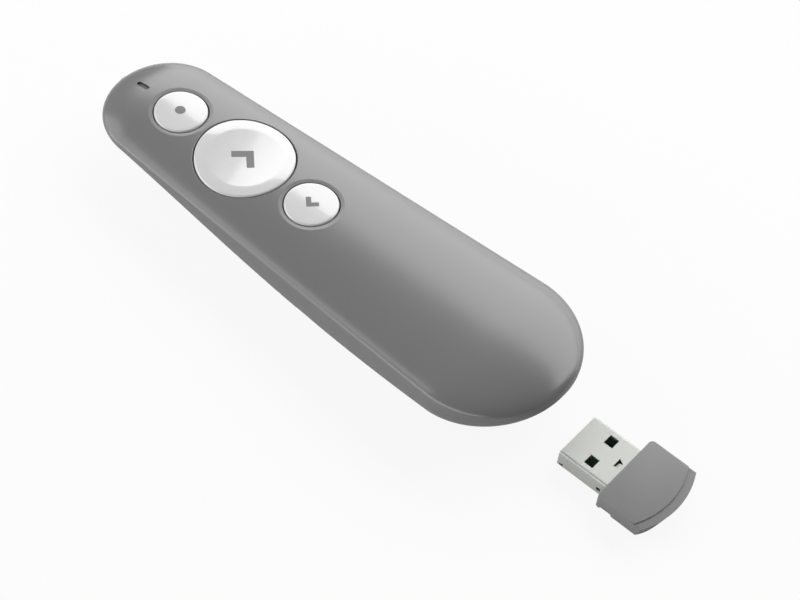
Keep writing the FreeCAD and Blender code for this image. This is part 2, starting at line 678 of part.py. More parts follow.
def make_main_board():
    top = -size.board_drop
    bottom = top - size.board_thickness
    main = tilted_box("board_main", (-size.board_front, size.board_step),
                      (-size.board_half_width, size.board_half_width), (bottom, top))
    rear = tilted_box("board_tail", (ZERO, size.board_rear),
                      (-size.board_rear_half_width, size.board_rear_half_width), (bottom, top))
    prongs = [tilted_box("board_prong", (-size.prong_front, ZERO), side, (bottom, top))
              for side in sides((size.prong_inner, size.prong_outer))]
    outline = common("board_in_form", [inner_form, fuse("board_outline", [main, rear] + prongs)])
    holes = [rod("board_hole", "z", size.screw_hole, ZERO, HIGH, (size.front_screw_from_tip, side))
             for side in (size.front_screw_side, -size.front_screw_side)]
    return node("main_board", cut("main_board", outline, holes))


def make_switches():
    housings = []
    half = size.switch_width / 2
    for name, (along, radius, offset) in BUTTONS.items():
        centre = along + offset
        block = tilted_box(name + "_housing", (centre - half, centre + half), (-half, half),
                           (-size.board_drop, -size.board_drop + size.switch_height))
        bore = tilted_rod(name + "_bore", size.switch_bore, -size.board_drop, size.switch_height, centre)
        housings.append(cut(name + "_switch", block, [bore]))
    node("switch_housings", group("switch_housings", housings))


def make_button(name, along, radius, offset):
    bottom = -size.button_skirt
    blank = tilted_rod(name + "_blank", radius, bottom, size.overrun, along)
    tabs = tilted_box(name + "_tabs", (along - radius - size.tab_reach, along + radius + size.tab_reach),
                      (-size.tab_half_width, size.tab_half_width), (bottom, bottom + size.tab_thickness))
    hollow = common(name + "_hollow", [inner_form, tilted_rod(
        name + "_hollow_rod", radius - size.button_wall, bottom - size.overrun, size.overrun * 2, along)])
    shaped_cap = common(name + "_crown", [proud_form, blank])
    tools = [hollow]
    if name == "forward":
        tools.append(forward_dish())
    mark_tool = mark_prism(name, along)
    tools.append(mark_tool)
    cap = cut(name + "_button", fuse(name + "_cap", [shaped_cap, tabs]), tools)
    node(name + "_button", cap)
    face = cut(name + "_face", shaped_cap, tools[1:-1]) if name == "forward" else shaped_cap
    node(name + "_mark", common(name + "_mark", [face, mark_prism(name, along)]))
    stem_bottom = size.board_drop - size.button_travel - size.stem_gap
    stem = tilted_rod(name + "_stem_rod", size.stem_radius, -stem_bottom, stem_bottom, along + offset)
    node(name + "_stem", common(name + "_stem", [inner_form, stem]))


def forward_dish():
    """A wide drum lying across the forward button, which hollows the crowned cap into a round dish."""
    drum_radius = (size.dish_radius * size.dish_radius + size.dish_depth * size.dish_depth) / (
        size.dish_depth * 2)
    drum = doc.addObject("Part::Cylinder", "dish")
    bind(drum, Radius=drum_radius, Height=size.forward_radius * 2)
    tilted(drum, ZERO, -size.forward_radius, drum_radius - size.dish_floor_drop)
    drum.Placement = Placement(drum.Placement.Base, AXIS_TURN["y"])
    return drum


def mark_prism(name, along):
    """A dot on the laser button, and an angle bracket on each of the other two."""
    depth = -size.forward_mark_depth if name == "forward" else -size.mark_depth
    if name != "forward":
        along = along - size.small_mark_offset
    if name == "laser":
        return tilted_rod("dot", size.dot_radius, depth, size.overrun, along)
    arm, width, apex, way = {
        "forward": (size.forward_arm, size.forward_arm_width, size.forward_apex, 1),
        "back": (size.back_arm, size.back_arm_width, size.back_apex, -1),
    }[name]
    slant = math.cos(math.radians(BRACKET_ANGLE))
    reach = float(arm) * slant
    thick = float(width) / slant
    tip = float(apex)
    corners = [(0, tip), (reach, tip - reach), (reach - thick / 2, tip - reach - thick / 2),
               (0, tip - thick), (thick / 2 - reach, tip - reach - thick / 2), (-reach, tip - reach)]
    points = [Vector(x, way * y, 0) for x, y in corners]
    face = Part.Face(Part.makePolygon(points + points[:1]))
    thing = doc.addObject("Part::Feature", name + "_bracket")
    thing.Shape = face.extrude(Vector(0, 0, float(size.overrun)))
    return tilted(thing, along, ZERO, depth)


def make_board_parts():
    under = -size.board_drop - size.board_thickness
    half = size.chip_size / 2
    behind = size.chip_behind
    node("radio_chip", tilted_box("radio_chip", (-behind - half, -behind + half), (-half, half),
                                  (under - size.chip_height, under)))
    node("crystal_can", tilted_box("crystal_can", (-behind - half, -behind - half + size.crystal_length),
                                   (half + size.part_pitch, half + size.part_pitch + size.crystal_width),
                                   (under - size.crystal_height, under)))
    parts = []
    for i in range(BOARD_PART_COUNT):
        along = size.part_pitch * i - behind - half
        for side in (-half - size.part_pitch, -half - size.part_pitch * 2):
            parts.append(tilted_box("board_part", (along, along + size.part_length),
                                    (side, side + size.part_width), (under - size.part_height, under)))
    node("board_parts", group("board_parts", parts))


def make_lamp():
    along = size.slot_from_tip - size.forward_from_tip
    node("status_led", tilted_box("status_led", (along - size.led_length / 2, along + size.led_length / 2),
                                  (size.led_side, size.led_side + size.led_width),
                                  (-size.board_drop, -size.board_drop + size.led_height)))
    head = lamp_slot("pipe_head", size.pipe_gap, size.pipe_bottom, size.pipe_top)
    shelf = box("pipe_shelf", (size.slot_from_tip - size.led_length / 2,
                               size.slot_from_tip + size.led_length / 2),
                (-size.slot_width / 2, size.led_side + size.led_width),
                (size.pipe_bottom, size.pipe_bottom + size.pipe_shelf))
    node("light_pipe", fuse("light_pipe", [head, shelf]))


def make_laser():
    centre = (ZERO, size.laser_height)
    front = size.barrel_front
    rear = front + size.barrel_length
    body = rod("barrel_body", "x", size.barrel_radius, front, size.barrel_length, centre)
    bore = rod("barrel_hole", "x", size.barrel_bore, front - size.overrun,
               size.barrel_length + size.overrun * 2, centre)
    node("laser_barrel", cut("laser_barrel", body, [bore]))
    node("laser_lens", rod("laser_lens", "x", size.barrel_bore, front + size.sleeve_thickness,
                           size.lens_thickness, centre))
    node("laser_diode", rod("laser_diode", "x", size.diode_radius, rear - size.diode_length,
                            size.diode_length, centre))
    tip = rod("window_rod", "x", size.aperture_radius, LOW, size.overrun + size.window_depth, centre)
    node("aperture_window", common("aperture_window", [outer_form, tip]))
    saddle = common("saddle", [inner_form, box(
        "mount_block", (size.mount_front, size.mount_rear), (-size.mount_half_width, size.mount_half_width),
        (ZERO, size.mount_top))])
    seat = rod("mount_seat", "x", size.barrel_radius, LOW, size.body_length, centre)
    node("laser_mount", cut("laser_mount", saddle, [seat]))
    leads = [rod("laser_lead", "x", size.laser_lead_radius, rear, size.laser_lead_length,
                 (side, size.laser_height - size.laser_lead_side))
             for side in (size.laser_lead_side, -size.laser_lead_side)]
    node("laser_leads", group("laser_leads", leads))


# Receiver


def plug_body(name, clear, grow):
    """The plug's outside or its inside, with rounded corners, from its open tip."""
    front = size.plug_tip - grow
    length = size.plug_length + size.plug_inset + grow * 2
    half = size.plug_width / 2 - clear
    radius = size.plug_corner
    low = size.plug_top - size.plug_height + clear
    high = size.plug_top - clear
    pieces = [box(name + "_wide", (front, front + length), (-half, half), (low + radius, high - radius)),
              box(name + "_tall", (front, front + length), (-half + radius, half - radius), (low, high))]
    for side in (half - radius, -half + radius):
        for height in (low + radius, high - radius):
            pieces.append(rod(name + "_corner", "x", radius, front, length, (side, height)))
    return fuse(name, pieces)


def make_plug_shell():
    tip = size.plug_tip
    low = size.plug_top - size.plug_height
    outside = plug_body("plug_outside", ZERO, ZERO)
    inside = plug_body("plug_inside", size.plug_sheet, size.overrun)
    tools = [inside]
    window_front = tip + size.window_start
    for side in (size.window_centre, -size.window_centre):
        tools.append(box("plug_window", (window_front, window_front + size.window_length),
                         (side - size.window_width / 2, side + size.window_width / 2),
                         (low - size.overrun, size.plug_top + size.overrun)))
    base = float(tip + size.notch_start)
    half = float(size.notch_width) / 2
    rear_half = float(size.notch_rear_width) / 2
    rear = base + float(size.notch_length)
    corners = [(base, -half), (rear, -rear_half), (rear, rear_half), (base, half)]
    tools.append(prism("plug_notch", corners, size.plug_top - size.plug_sheet * 2,
                       size.plug_top + size.overrun))
    tools.append(rod("side_hole", "y", size.side_hole_radius, -size.plug_width, size.plug_width * 2,
                     (tip + size.side_hole_from_tip, low + size.side_hole_height)))
    half_square = size.side_square / 2
    middle = low + size.side_square_height
    tools.append(box("side_square", (tip + size.side_square_from_tip - half_square,
                                     tip + size.side_square_from_tip + half_square),
                     (-size.plug_width, size.plug_width), (middle - half_square, middle + half_square)))
    node("plug_shell", cut("plug_shell", outside, tools))


def cap_outline(rear_shift, height):
    """The cap in plan at a height: round front corners, straight sides and a bulged end of one arc."""
    front = float(size.plug_tip + size.plug_length)
    half = float(size.cap_half_width)
    corner = front + float(size.cap_side_length) - rear_shift
    bulge = corner + float(size.cap_bulge)
    turn = float(size.cap_front_round)
    inner = turn * (1 - math.sqrt(0.5))

    def at(x, y):
        return Vector(x, y, height)

    edges = [Part.Arc(at(corner, -half), at(bulge, 0), at(corner, half)).toShape(),
             Part.makeLine(at(corner, half), at(front + turn, half)),
             Part.Arc(at(front + turn, half), at(front + inner, half - inner),
                      at(front, half - turn)).toShape(),
             Part.makeLine(at(front, half - turn), at(front, turn - half)),
             Part.Arc(at(front, turn - half), at(front + inner, inner - half),
                      at(front + turn, -half)).toShape(),
             Part.makeLine(at(front + turn, -half), at(corner, -half))]
    return Part.Face(Part.Wire(edges))


def make_receiver_cap():
    front = size.plug_tip + size.plug_length
    half = float(size.cap_half_width)
    top = float(size.cap_top)
    side_bottom = top - float(size.cap_side_height)
    flat = float(size.cap_floor_flat)
    x = float(front)
    reach = float(size.cap_side_length) + float(size.cap_bulge)
    sag = side_bottom * CAP_BELLY_SHARE
    quarter = Part.Arc(Vector(x, flat, 0), Vector(x, (flat + half) / 2, sag),
                       Vector(x, half, side_bottom)).toShape()
    mirror = Part.Arc(Vector(x, -half, side_bottom), Vector(x, -(flat + half) / 2, sag),
                      Vector(x, -flat, 0)).toShape()
    lines = [Part.makeLine(Vector(x, half, side_bottom), Vector(x, half, top)),
             Part.makeLine(Vector(x, half, top), Vector(x, -half, top)),
             Part.makeLine(Vector(x, -half, top), Vector(x, -half, side_bottom)),
             Part.makeLine(Vector(x, -flat, 0), Vector(x, flat, 0))]
    wire = Part.Wire(Part.__sortEdges__([quarter, mirror] + lines))
    bar = Part.Face(wire).extrude(Vector(reach, 0, 0))
    lip_top = top - float(size.cap_lip_drop)
    upright = cap_outline(0, 0).extrude(Vector(0, 0, lip_top))
    leaning = cap_outline(0, lip_top).extrude(Vector(-float(size.cap_undercut), 0, -lip_top))
    raised = cap_outline(float(size.cap_lip), lip_top).extrude(Vector(0, 0, top - lip_top))
    blank = shaped("cap_blank", bar.common(upright.common(leaning).fuse(raised)))
    hollow = box("cap_hollow",
                 (front + size.cap_hollow_front - size.plug_sheet, front + size.cap_hollow_rear),
                 (-size.cap_hollow_half_width, size.cap_hollow_half_width),
                 (size.cap_hollow_bottom, size.cap_hollow_top))
    socket = plug_body("plug_socket", ZERO, ZERO)
    detents = []
    for start, end in sides((size.cap_half_width - size.detent_depth, size.cap_half_width + size.overrun)):
        detents.append(rod("detent", "y", size.detent_radius, start, end - start,
                           (front + size.detent_centre,
                            size.cap_top - size.cap_side_height - size.detent_drop)))
    node("receiver_cap", cut("receiver_cap", blank, [hollow, socket] + detents))


def make_plug_inside():
    tip = size.plug_tip
    core_front = tip + size.core_start
    core_rear = tip + size.plug_length + size.plug_inset
    node("plug_core", box("plug_core", (core_front, core_rear), (-size.core_half_width, size.core_half_width),
                          (size.core_bottom, size.core_top)))
    board_top = size.core_top + size.plug_board_thickness
    node("plug_board", box("plug_board", (core_front, core_front + size.plug_board_length),
                           (-size.plug_board_half_width, size.plug_board_half_width),
                           (size.core_top, board_top)))
    strips = []
    for centre in (size.contact_inner, -size.contact_inner, size.contact_outer, -size.contact_outer):
        strips.append(box("contact", (core_front + size.contact_height, core_front + size.contact_length),
                          (centre - size.contact_width / 2, centre + size.contact_width / 2),
                          (board_top, board_top + size.contact_height)))
    node("plug_contacts", group("plug_contacts", strips))
    chip_front = core_front + size.receiver_chip_behind
    half = size.receiver_chip_size / 2
    node("receiver_chip", box("receiver_chip", (chip_front, chip_front + size.receiver_chip_size),
                              (-half, half), (board_top, board_top + size.receiver_chip_height)))


make_top_shell()
make_bottom_pan()
make_receiver_dock()
make_battery_door()
make_door_pad()
make_hinge_pin()
make_battery_tray()
make_battery()
make_contacts()
make_battery_leads()
make_case_screws()
make_main_board()
make_switches()
make_board_parts()
make_lamp()
make_laser()
for button_name, (along, radius, offset) in BUTTONS.items():
    make_button(button_name, along, radius, offset)
make_receiver_cap()
make_plug_shell()
make_plug_inside()

doc.recompute()
for thing in doc.Objects:
    if "Invalid" in thing.State or "Error" in thing.State:
        raise RuntimeError("%s failed: %s" % (thing.Name, thing.State))
for name, thing in nodes.items():
    if thing.Shape.isNull() or not thing.Shape.isValid() or not thing.Shape.Solids:
        raise RuntimeError("%s has no valid solid" % name)

os.makedirs("parts", exist_ok=True)
for name, thing in nodes.items():
    thing.Shape.exportStep("parts/%s.step" % name)
    print("%-18s %2d solids %9.2f mm3" % (name, len(thing.Shape.Solids), thing.Shape.Volume))
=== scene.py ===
import math

import bpy
from mathutils import Matrix, Vector


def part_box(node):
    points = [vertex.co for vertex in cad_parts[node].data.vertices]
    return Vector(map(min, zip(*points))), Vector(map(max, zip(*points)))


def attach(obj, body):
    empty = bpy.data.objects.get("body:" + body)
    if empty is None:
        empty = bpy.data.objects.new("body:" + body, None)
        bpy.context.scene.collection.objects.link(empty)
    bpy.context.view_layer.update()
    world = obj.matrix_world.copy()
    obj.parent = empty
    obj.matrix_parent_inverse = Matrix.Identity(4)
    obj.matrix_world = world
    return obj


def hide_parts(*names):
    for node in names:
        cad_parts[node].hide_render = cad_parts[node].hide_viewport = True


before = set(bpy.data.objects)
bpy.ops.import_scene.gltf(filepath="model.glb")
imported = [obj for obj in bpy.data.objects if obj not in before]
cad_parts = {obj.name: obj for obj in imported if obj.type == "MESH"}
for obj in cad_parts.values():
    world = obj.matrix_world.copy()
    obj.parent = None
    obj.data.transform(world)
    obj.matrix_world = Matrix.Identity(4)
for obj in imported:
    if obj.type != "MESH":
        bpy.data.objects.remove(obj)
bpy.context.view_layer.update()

MM = 0.001

# Places along the clicker, in metres from the tip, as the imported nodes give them
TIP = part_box("top_shell")[0][0]
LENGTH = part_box("top_shell")[1][0] - TIP
PLUG_LOW, PLUG_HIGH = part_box("plug_shell")
CAP_LOW, CAP_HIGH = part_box("receiver_cap")

# The body's form, which the shells and the caps follow
TIP_HALF_WIDTH = 14.3 * MM
TAIL_HALF_WIDTH = 19.35 * MM
TIP_ROUND = 13.3 * MM
TAIL_ROUND = 19.5 * MM
WAIST_HEIGHTS = (11.2 * MM, 13.85 * MM)
CROWN_RISES = (3.25 * MM, 3.4 * MM, 5.0 * MM)
BELLY_DEPTHS = (3.2 * MM, 8.35 * MM, 12.9 * MM, 12.55 * MM, 6.0 * MM)
TIP_SQUARENESS = 2.05
BELLY_SQUARENESS = 2.9
WALL = 1.2 * MM
BELLY_WALL = 1.3 * MM
SEAM = 0.15 * MM
OVERRUN = 4 * MM

# Buttons
CONTROL_TILT = math.radians(1.7)
FORWARD_FROM_TIP = 36.4 * MM
PLANE_HEIGHT = 15.2 * MM
FORWARD_RADIUS = 10.9 * MM
SMALL_RADIUS = 5.9 * MM
LASER_ALONG = -18.8 * MM
BACK_ALONG = 19.0 * MM
BUTTON_GAP = 0.21 * MM
CAP_SHRINK = 0.06 * MM
BUTTON_PROUD = 0.2 * MM
BUTTON_SKIRT = 1.8 * MM
RING_WIDTH = 1.1 * MM
RING_DEPTH = 0.1 * MM

# The caps, and the shell's edge round them
ROUND = 128
CAP_RINGS = 14
CAP_EDGE = 0.4 * MM
CAP_WALL = 1.2 * MM
DISH_RADIUS = 8.2 * MM
DISH_DEPTH = 0.5 * MM
DISH_CREASE = 0.22 * MM
HOLE_EDGE = 0.1 * MM
HOLE_ROLL = 0.2 * MM
RING_LAP = 0.02 * MM
RING_STEPS = 8
RING_SLOPE_SHARE = 0.85
EDGE_STEPS = 6
HOLE_EDGE_STEPS = 4
SHELL_DEPTH = 1.6 * MM

# The marks set into the caps
MARK_DEPTH = 1.0 * MM
MARK_RISE = 0.015 * MM
DOT_RADIUS = 1.16 * MM
DOT_ROUND = 64
SMALL_MARK_OFFSET = 0.2 * MM
FORWARD_ARM = 4.8 * MM
FORWARD_ARM_WIDTH = 1.65 * MM
FORWARD_APEX = 2.7 * MM
BACK_ARM = 2.7 * MM
BACK_ARM_WIDTH = 1.1 * MM
BACK_APEX = 1.45 * MM

# The upper shell's skin, its openings and what shows in them
SHELL_RINGS = 240
SHELL_SEGMENTS = 160
HOLLOW_RINGS = 96
HOLLOW_SEGMENTS = 80
SLOT_FROM_TIP = 6.3 * MM
SLOT_LENGTH = 3.3 * MM
SLOT_WIDTH = 1.2 * MM
SLOT_STEPS = 16
PIPE_BOTTOM = 12.3 * MM
PIPE_GAP = 0.05 * MM
PIPE_SINK = 0.35 * MM
PIPE_SHELF = 0.35 * MM
LED_LENGTH = 1.6 * MM
PAN_INSET = 4.0 * MM
PAN_TOP = 10.4 * MM
PAN_STEPS = 48
HINGE_FROM_TIP = 43.5 * MM
TONGUE_HALF_WIDTH = 7.5 * MM
SHOULDER_FROM_TIP = 66.0 * MM
SHOULDER_HALF_WIDTH = 16.5 * MM
SHOULDER_CORNER = 1.0 * MM
DOOR_REAR_FROM_TIP = 98.0 * MM
DOOR_REAR_HALF_WIDTH = 15.0 * MM
DOOR_CORNER = 3.0 * MM
DOOR_TOP = 9.0 * MM
STRIP_HALF_WIDTH = 15.0 * MM
STRIP_TOP = 6.5 * MM
DOCK_MOUTH = 109.4 * MM
RECESS_HALF_WIDTH = 9.6 * MM
RECESS_ROOF = 11.55 * MM
LASER_HEIGHT = 10.25 * MM
APERTURE_RADIUS = 1.5 * MM
APERTURE_GAP = 0.05 * MM
APERTURE_ROUND = 64
WINDOW_DEPTH = 3.2 * MM

# The receiver's plug
SHEET = 0.3 * MM
SHEET_EDGE = 0.05 * MM
PLUG_CORNER = 0.6 * MM
WINDOW_START = 5.05 * MM
WINDOW_LENGTH = 2.15 * MM
WINDOW_WIDTH = 2.5 * MM
WINDOW_CENTRE = 3.25 * MM
NOTCH_START = 9.9 * MM
NOTCH_LENGTH = 1.25 * MM
NOTCH_WIDTH = 2.4 * MM
NOTCH_REAR_WIDTH = 1.1 * MM
TAB_LENGTH = 0.95 * MM
TAB_DIP = 0.4 * MM
TAB_GAP = 0.05 * MM
SIDE_HOLE_FROM_TIP = 1.0 * MM
SIDE_HOLE_HEIGHT = 0.85 * MM
SIDE_HOLE_RADIUS = 0.5 * MM
SIDE_HOLE_ROUND = 32
SIDE_SQUARE_FROM_TIP = 10.3 * MM
SIDE_SQUARE_HEIGHT = 1.75 * MM
SIDE_SQUARE = 1.0 * MM

# The receiver's grey body
CAP_BULGE = 2.3 * MM
CAP_SIDE_HEIGHT = 3.2 * MM
CAP_LIP = 2.0 * MM
CAP_LIP_DROP = 0.25 * MM
CAP_FLOOR_FLAT = 2.5 * MM
CAP_BELLY_SHARE = 0.25
CAP_BEVEL = 0.25 * MM
CAP_FRONT_ROUND = 1.0 * MM
CAP_UNDERCUT = 1.9 * MM
CAP_ARC_STEPS = 48
CAP_SECTION_STEPS = 24
DETENT_CENTRE = 2.7 * MM
DETENT_RADIUS = 1.6 * MM
DETENT_DEPTH = 0.5 * MM
DETENT_DROP = 0.5 * MM
DETENT_ROUND = 48

# How far faces may turn and still be shaded as one, in degrees
SHADED_AS_ONE = 35
CAP_SHADED_AS_ONE = 50
MARK_SHADED_AS_ONE = 40

# The turn between faces from which an edge is rounded
EDGE_ANGLE = math.radians(40)
CAP_EDGE_ANGLE = math.radians(35)


def cleared():
    """Deselect everything, so that an operator acts on the new piece alone."""
    if bpy.context.mode != "OBJECT":
        bpy.ops.object.mode_set(mode="OBJECT")
    bpy.ops.object.select_all(action="DESELECT")


def named(name):
    piece = bpy.context.active_object
    piece.name = name
    piece.data.name = name
    return piece


def applied(piece):
    """Put the piece's place into its mesh."""
    cleared()
    piece.select_set(True)
    bpy.context.view_layer.objects.active = piece
    bpy.ops.object.transform_apply(location=True, rotation=True, scale=True)
    return piece


def modified(piece, kind, **settings):
    """Add a modifier, set it up and apply it."""
    cleared()
    piece.select_set(True)
    bpy.context.view_layer.objects.active = piece
    modifier = piece.modifiers.new(kind.title(), kind)
    for key, value in settings.items():
        setattr(modifier, key, value)
    bpy.ops.object.modifier_apply(modifier=modifier.name)
    return piece


def carved(piece, cutter, operation="DIFFERENCE"):
    """Cut one piece with another, which goes."""
    modified(piece, "BOOLEAN", operation=operation, object=cutter, solver="EXACT")
    bpy.data.objects.remove(cutter)
    return piece


def joined(pieces, name):
    cleared()
    for piece in pieces:
        piece.select_set(True)
    bpy.context.view_layer.objects.active = pieces[0]
    bpy.ops.object.join()
    return named(name)


def smoothed(piece, degrees=SHADED_AS_ONE):
    cleared()
    piece.select_set(True)
    bpy.context.view_layer.objects.active = piece
    bpy.ops.object.shade_smooth_by_angle(angle=math.radians(degrees))
    return piece


def edited(piece):
    """Open the piece in edit mode with all its faces selected."""
    cleared()
    piece.select_set(True)
    bpy.context.view_layer.objects.active = piece
    bpy.ops.object.mode_set(mode="EDIT")
    bpy.ops.mesh.select_mode(type="FACE")
    bpy.ops.mesh.select_all(action="SELECT")


def through_points(share, heights):
    """A smooth curve through evenly spaced heights."""
    last = len(heights) - 1
    total = 0
    for i, height in enumerate(heights):
        weight = 1
        for k in range(len(heights)):
            if k != i:
                weight *= (share * last - k) / (i - k)
        total += weight * height
    return total


def end_rounding(x, length, inset):
    """1 along the body, falling to 0 on an ellipse at each end."""
    tip_round = TIP_ROUND - inset
    tail_round = TAIL_ROUND - inset
    if x < tip_round:
        return math.sqrt(max(0, 1 - ((tip_round - x) / tip_round) ** 2))
    if x > length - tail_round:
        return math.sqrt(max(0, 1 - ((x - length + tail_round) / tail_round) ** 2))
    return 1


def profile(x, inset=0, belly_inset=0):
    """Half width, waist height, rise, depth and squareness at a station from the tip."""
    share = x / LENGTH
    inner = x - inset
    length = LENGTH - 2 * inset
    rounding = end_rounding(inner, length, inset)
    widening = min(1, max(0, (x - TIP_ROUND) / (LENGTH - TIP_ROUND - TAIL_ROUND)))
    width = (TIP_HALF_WIDTH * (1 - widening) + TAIL_HALF_WIDTH * widening - inset) * rounding
    waist = WAIST_HEIGHTS[0] * (1 - share) + WAIST_HEIGHTS[1] * share
    rise = (through_points(share, CROWN_RISES) - inset) * rounding
    depth = (through_points(share, BELLY_DEPTHS) - belly_inset) * rounding
    growth = min(1, 2 * share)
    squareness = TIP_SQUARENESS + (BELLY_SQUARENESS - TIP_SQUARENESS) * growth * (2 - growth)
    return width, waist, rise, depth, squareness


def crown(x, y):
    """Height of the body's top over a point, x from the tip."""
    width, waist, rise = profile(min(max(x, 0), LENGTH))[:3]
    if width <= 0:
        return waist
    return waist + rise * math.sqrt(max(0, 1 - (y / width) ** 2))


def body_skin(name, rings, segments, inset=0, belly_inset=0):
    """A sphere drawn out into the body's form, with its poles at the tip and the tail."""
    cleared()
    bpy.ops.mesh.primitive_uv_sphere_add(segments=segments, ring_count=rings, radius=1)
    piece = named(name)
    clear = LENGTH - 2 * inset
    for vertex in piece.data.vertices:
        direction = vertex.co.normalized()
        x = inset + clear * (1 - direction.z) / 2
        width, waist, rise, depth, squareness = profile(x, inset, belly_inset)
        across = math.hypot(direction.x, direction.y) or 1
        cosine, sine = direction.x / across, direction.y / across
        power = 1 if sine >= 0 else 2 / squareness
        y = width * math.copysign(abs(cosine) ** power, cosine)
        lift = math.copysign(abs(sine) ** power, sine) * (rise if sine >= 0 else depth)
        vertex.co = (TIP + x, y, waist + lift)
    edited(piece)
    bpy.ops.mesh.normals_make_consistent(inside=False)
    bpy.ops.object.mode_set(mode="OBJECT")
    return piece


BUTTONS = {
    "laser": (LASER_ALONG, SMALL_RADIUS),
    "forward": (0, FORWARD_RADIUS),
    "back": (BACK_ALONG, SMALL_RADIUS),
}


def control_point(along, side=0, above=0):
    """A point of the tilted control plane, in the frame's metres."""
    x = TIP + FORWARD_FROM_TIP + along * math.cos(CONTROL_TILT) - above * math.sin(CONTROL_TILT)
    z = PLANE_HEIGHT + along * math.sin(CONTROL_TILT) + above * math.cos(CONTROL_TILT)
    return Vector((x, side, z))


def tilted_cylinder(name, radius, along, bottom, top, vertices=ROUND):
    cleared()
    middle = control_point(along, 0, (bottom + top) / 2)
    bpy.ops.mesh.primitive_cylinder_add(vertices=vertices, radius=radius, depth=top - bottom,
                                        location=middle, rotation=(0, -CONTROL_TILT, 0))
    return applied(named(name))


def block(name, low, high):
    cleared()
    size = Vector(high) - Vector(low)
    bpy.ops.mesh.primitive_cube_add(size=1, location=(Vector(high) + Vector(low)) / 2, scale=size)
    return applied(named(name))


def prism(name, outline, bottom, top):
    """A closed outline in plan, x from the tip, filled and drawn up."""
    cleared()
    bpy.ops.mesh.primitive_circle_add(vertices=len(outline), radius=1, fill_type="NGON")
    piece = named(name)
    for vertex, (x, y) in zip(piece.data.vertices, outline):
        vertex.co = (TIP + x, y, bottom)
    edited(piece)
    bpy.ops.mesh.extrude_region_move(TRANSFORM_OT_translate={"value": (0, 0, top - bottom)})
    bpy.ops.mesh.select_all(action="SELECT")
    bpy.ops.mesh.normals_make_consistent(inside=False)
    bpy.ops.object.mode_set(mode="OBJECT")
    return piece


def on_top(along, side, above=0):
    """A point over the body's top, given in the tilted control plane."""
    height = 0
    for _ in range(3):
        point = control_point(along, side, height)
        height += crown(point.x - TIP, side) - point.z
    return control_point(along, side, height + above)


def turned(name, along, rings, lift=0):
    """Rings about a button's axis, each a radius, a height and what the height is measured from."""
    cleared()
    bpy.ops.mesh.primitive_circle_add(vertices=ROUND, radius=1)
    piece = named(name)
    edited(piece)
    bpy.ops.mesh.select_mode(type="EDGE")
    bpy.ops.mesh.select_all(action="SELECT")
    for _ in rings[1:]:
        bpy.ops.mesh.extrude_region_move(TRANSFORM_OT_translate={"value": (0, 0, 1)})
    bpy.ops.object.mode_set(mode="OBJECT")
    for vertex in piece.data.vertices:
        radius, height, over = rings[round(vertex.co.z)]
        angle = math.atan2(vertex.co.y, vertex.co.x)
        run, side = radius * math.cos(angle), radius * math.sin(angle)
        if over == "top":
            vertex.co = on_top(along + run, side, lift + height)
        elif over == "dish":
            sink = DISH_DEPTH * (1 - (run / DISH_RADIUS) ** 2)
            vertex.co = on_top(along + run, 0, lift + BUTTON_PROUD - sink)
            vertex.co.y = side
        else:
            vertex.co = control_point(along + run, side, lift + height)
    return tidied(piece)


def tidied(piece):
    """Merge what meets at a pole and turn every face outwards."""
    edited(piece)
    bpy.ops.mesh.remove_doubles(threshold=0.0005 * MM)
    bpy.ops.mesh.select_all(action="SELECT")
    bpy.ops.mesh.normals_make_consistent(inside=False)
    bpy.ops.object.mode_set(mode="OBJECT")
    return piece


def rolled(radius, height, edge, steps=EDGE_STEPS, outwards=True):
    """The rings of a rounded edge, from its flat side round to its wall."""
    rings = []
    for i in range(steps + 1):
        turn = math.pi / 2 * i / steps
        reach = edge * math.sin(turn) if outwards else -edge * math.sin(turn)
        middle = radius - edge if outwards else radius + edge
        rings.append((middle + reach, height - edge + edge * math.cos(turn), "top"))
    return rings


def cap_rings(radius, forward):
    """A cap's section: its top from the middle out, its rounded edge, its skirt and its hollow."""
    rings = []
    flat = radius - CAP_EDGE
    if forward:
        rings += dish_rings()
    else:
        for i in range(CAP_RINGS):
            rings.append((flat * i / CAP_RINGS, BUTTON_PROUD, "top"))
    rings += rolled(radius, BUTTON_PROUD, CAP_EDGE)
    rings.append((radius, -BUTTON_SKIRT, "plane"))
    rings.append((radius - CAP_WALL, -BUTTON_SKIRT, "plane"))
    rings.append((radius - CAP_WALL, -CAP_WALL, "top"))
    rings.append((0, -CAP_WALL, "top"))
    return rings


def dish_rings():
    """The forward cap's middle: a round dish that meets the crowned rim in a soft crease."""
    rings = [(DISH_RADIUS * i / CAP_RINGS, 0, "dish") for i in range(CAP_RINGS)]
    rings.append((DISH_RADIUS - DISH_CREASE, 0, "dish"))
    rings.append((DISH_RADIUS + DISH_CREASE, BUTTON_PROUD, "top"))
    rings.append((DISH_RADIUS + DISH_CREASE * 4, BUTTON_PROUD, "top"))
    return rings


def make_cap(name, lift=0):
    along, radius = BUTTONS[name]
    return turned(name + "_cap", along, cap_rings(radius - CAP_SHRINK, name == "forward"), lift)


def bracket(name, along, arm, width, apex, way):
    """An angle bracket drawn across a cap, as a cutter."""
    slant = math.sqrt(0.5)
    reach = arm * slant
    thick = width / slant
    corners = [(0, apex), (reach, apex - reach), (reach - thick / 2, apex - reach - thick / 2),
               (0, apex - thick), (thick / 2 - reach, apex - reach - thick / 2), (-reach, apex - reach)]
    cleared()
    bpy.ops.mesh.primitive_circle_add(vertices=len(corners), radius=1, fill_type="NGON")
    piece = named(name)
    for vertex, (run, side) in zip(piece.data.vertices, corners):
        vertex.co = control_point(along + run, way * side, -MARK_DEPTH)
    edited(piece)
    bpy.ops.mesh.extrude_region_move(TRANSFORM_OT_translate={"value": (0, 0, OVERRUN)})
    bpy.ops.object.mode_set(mode="OBJECT")
    return tidied(piece)


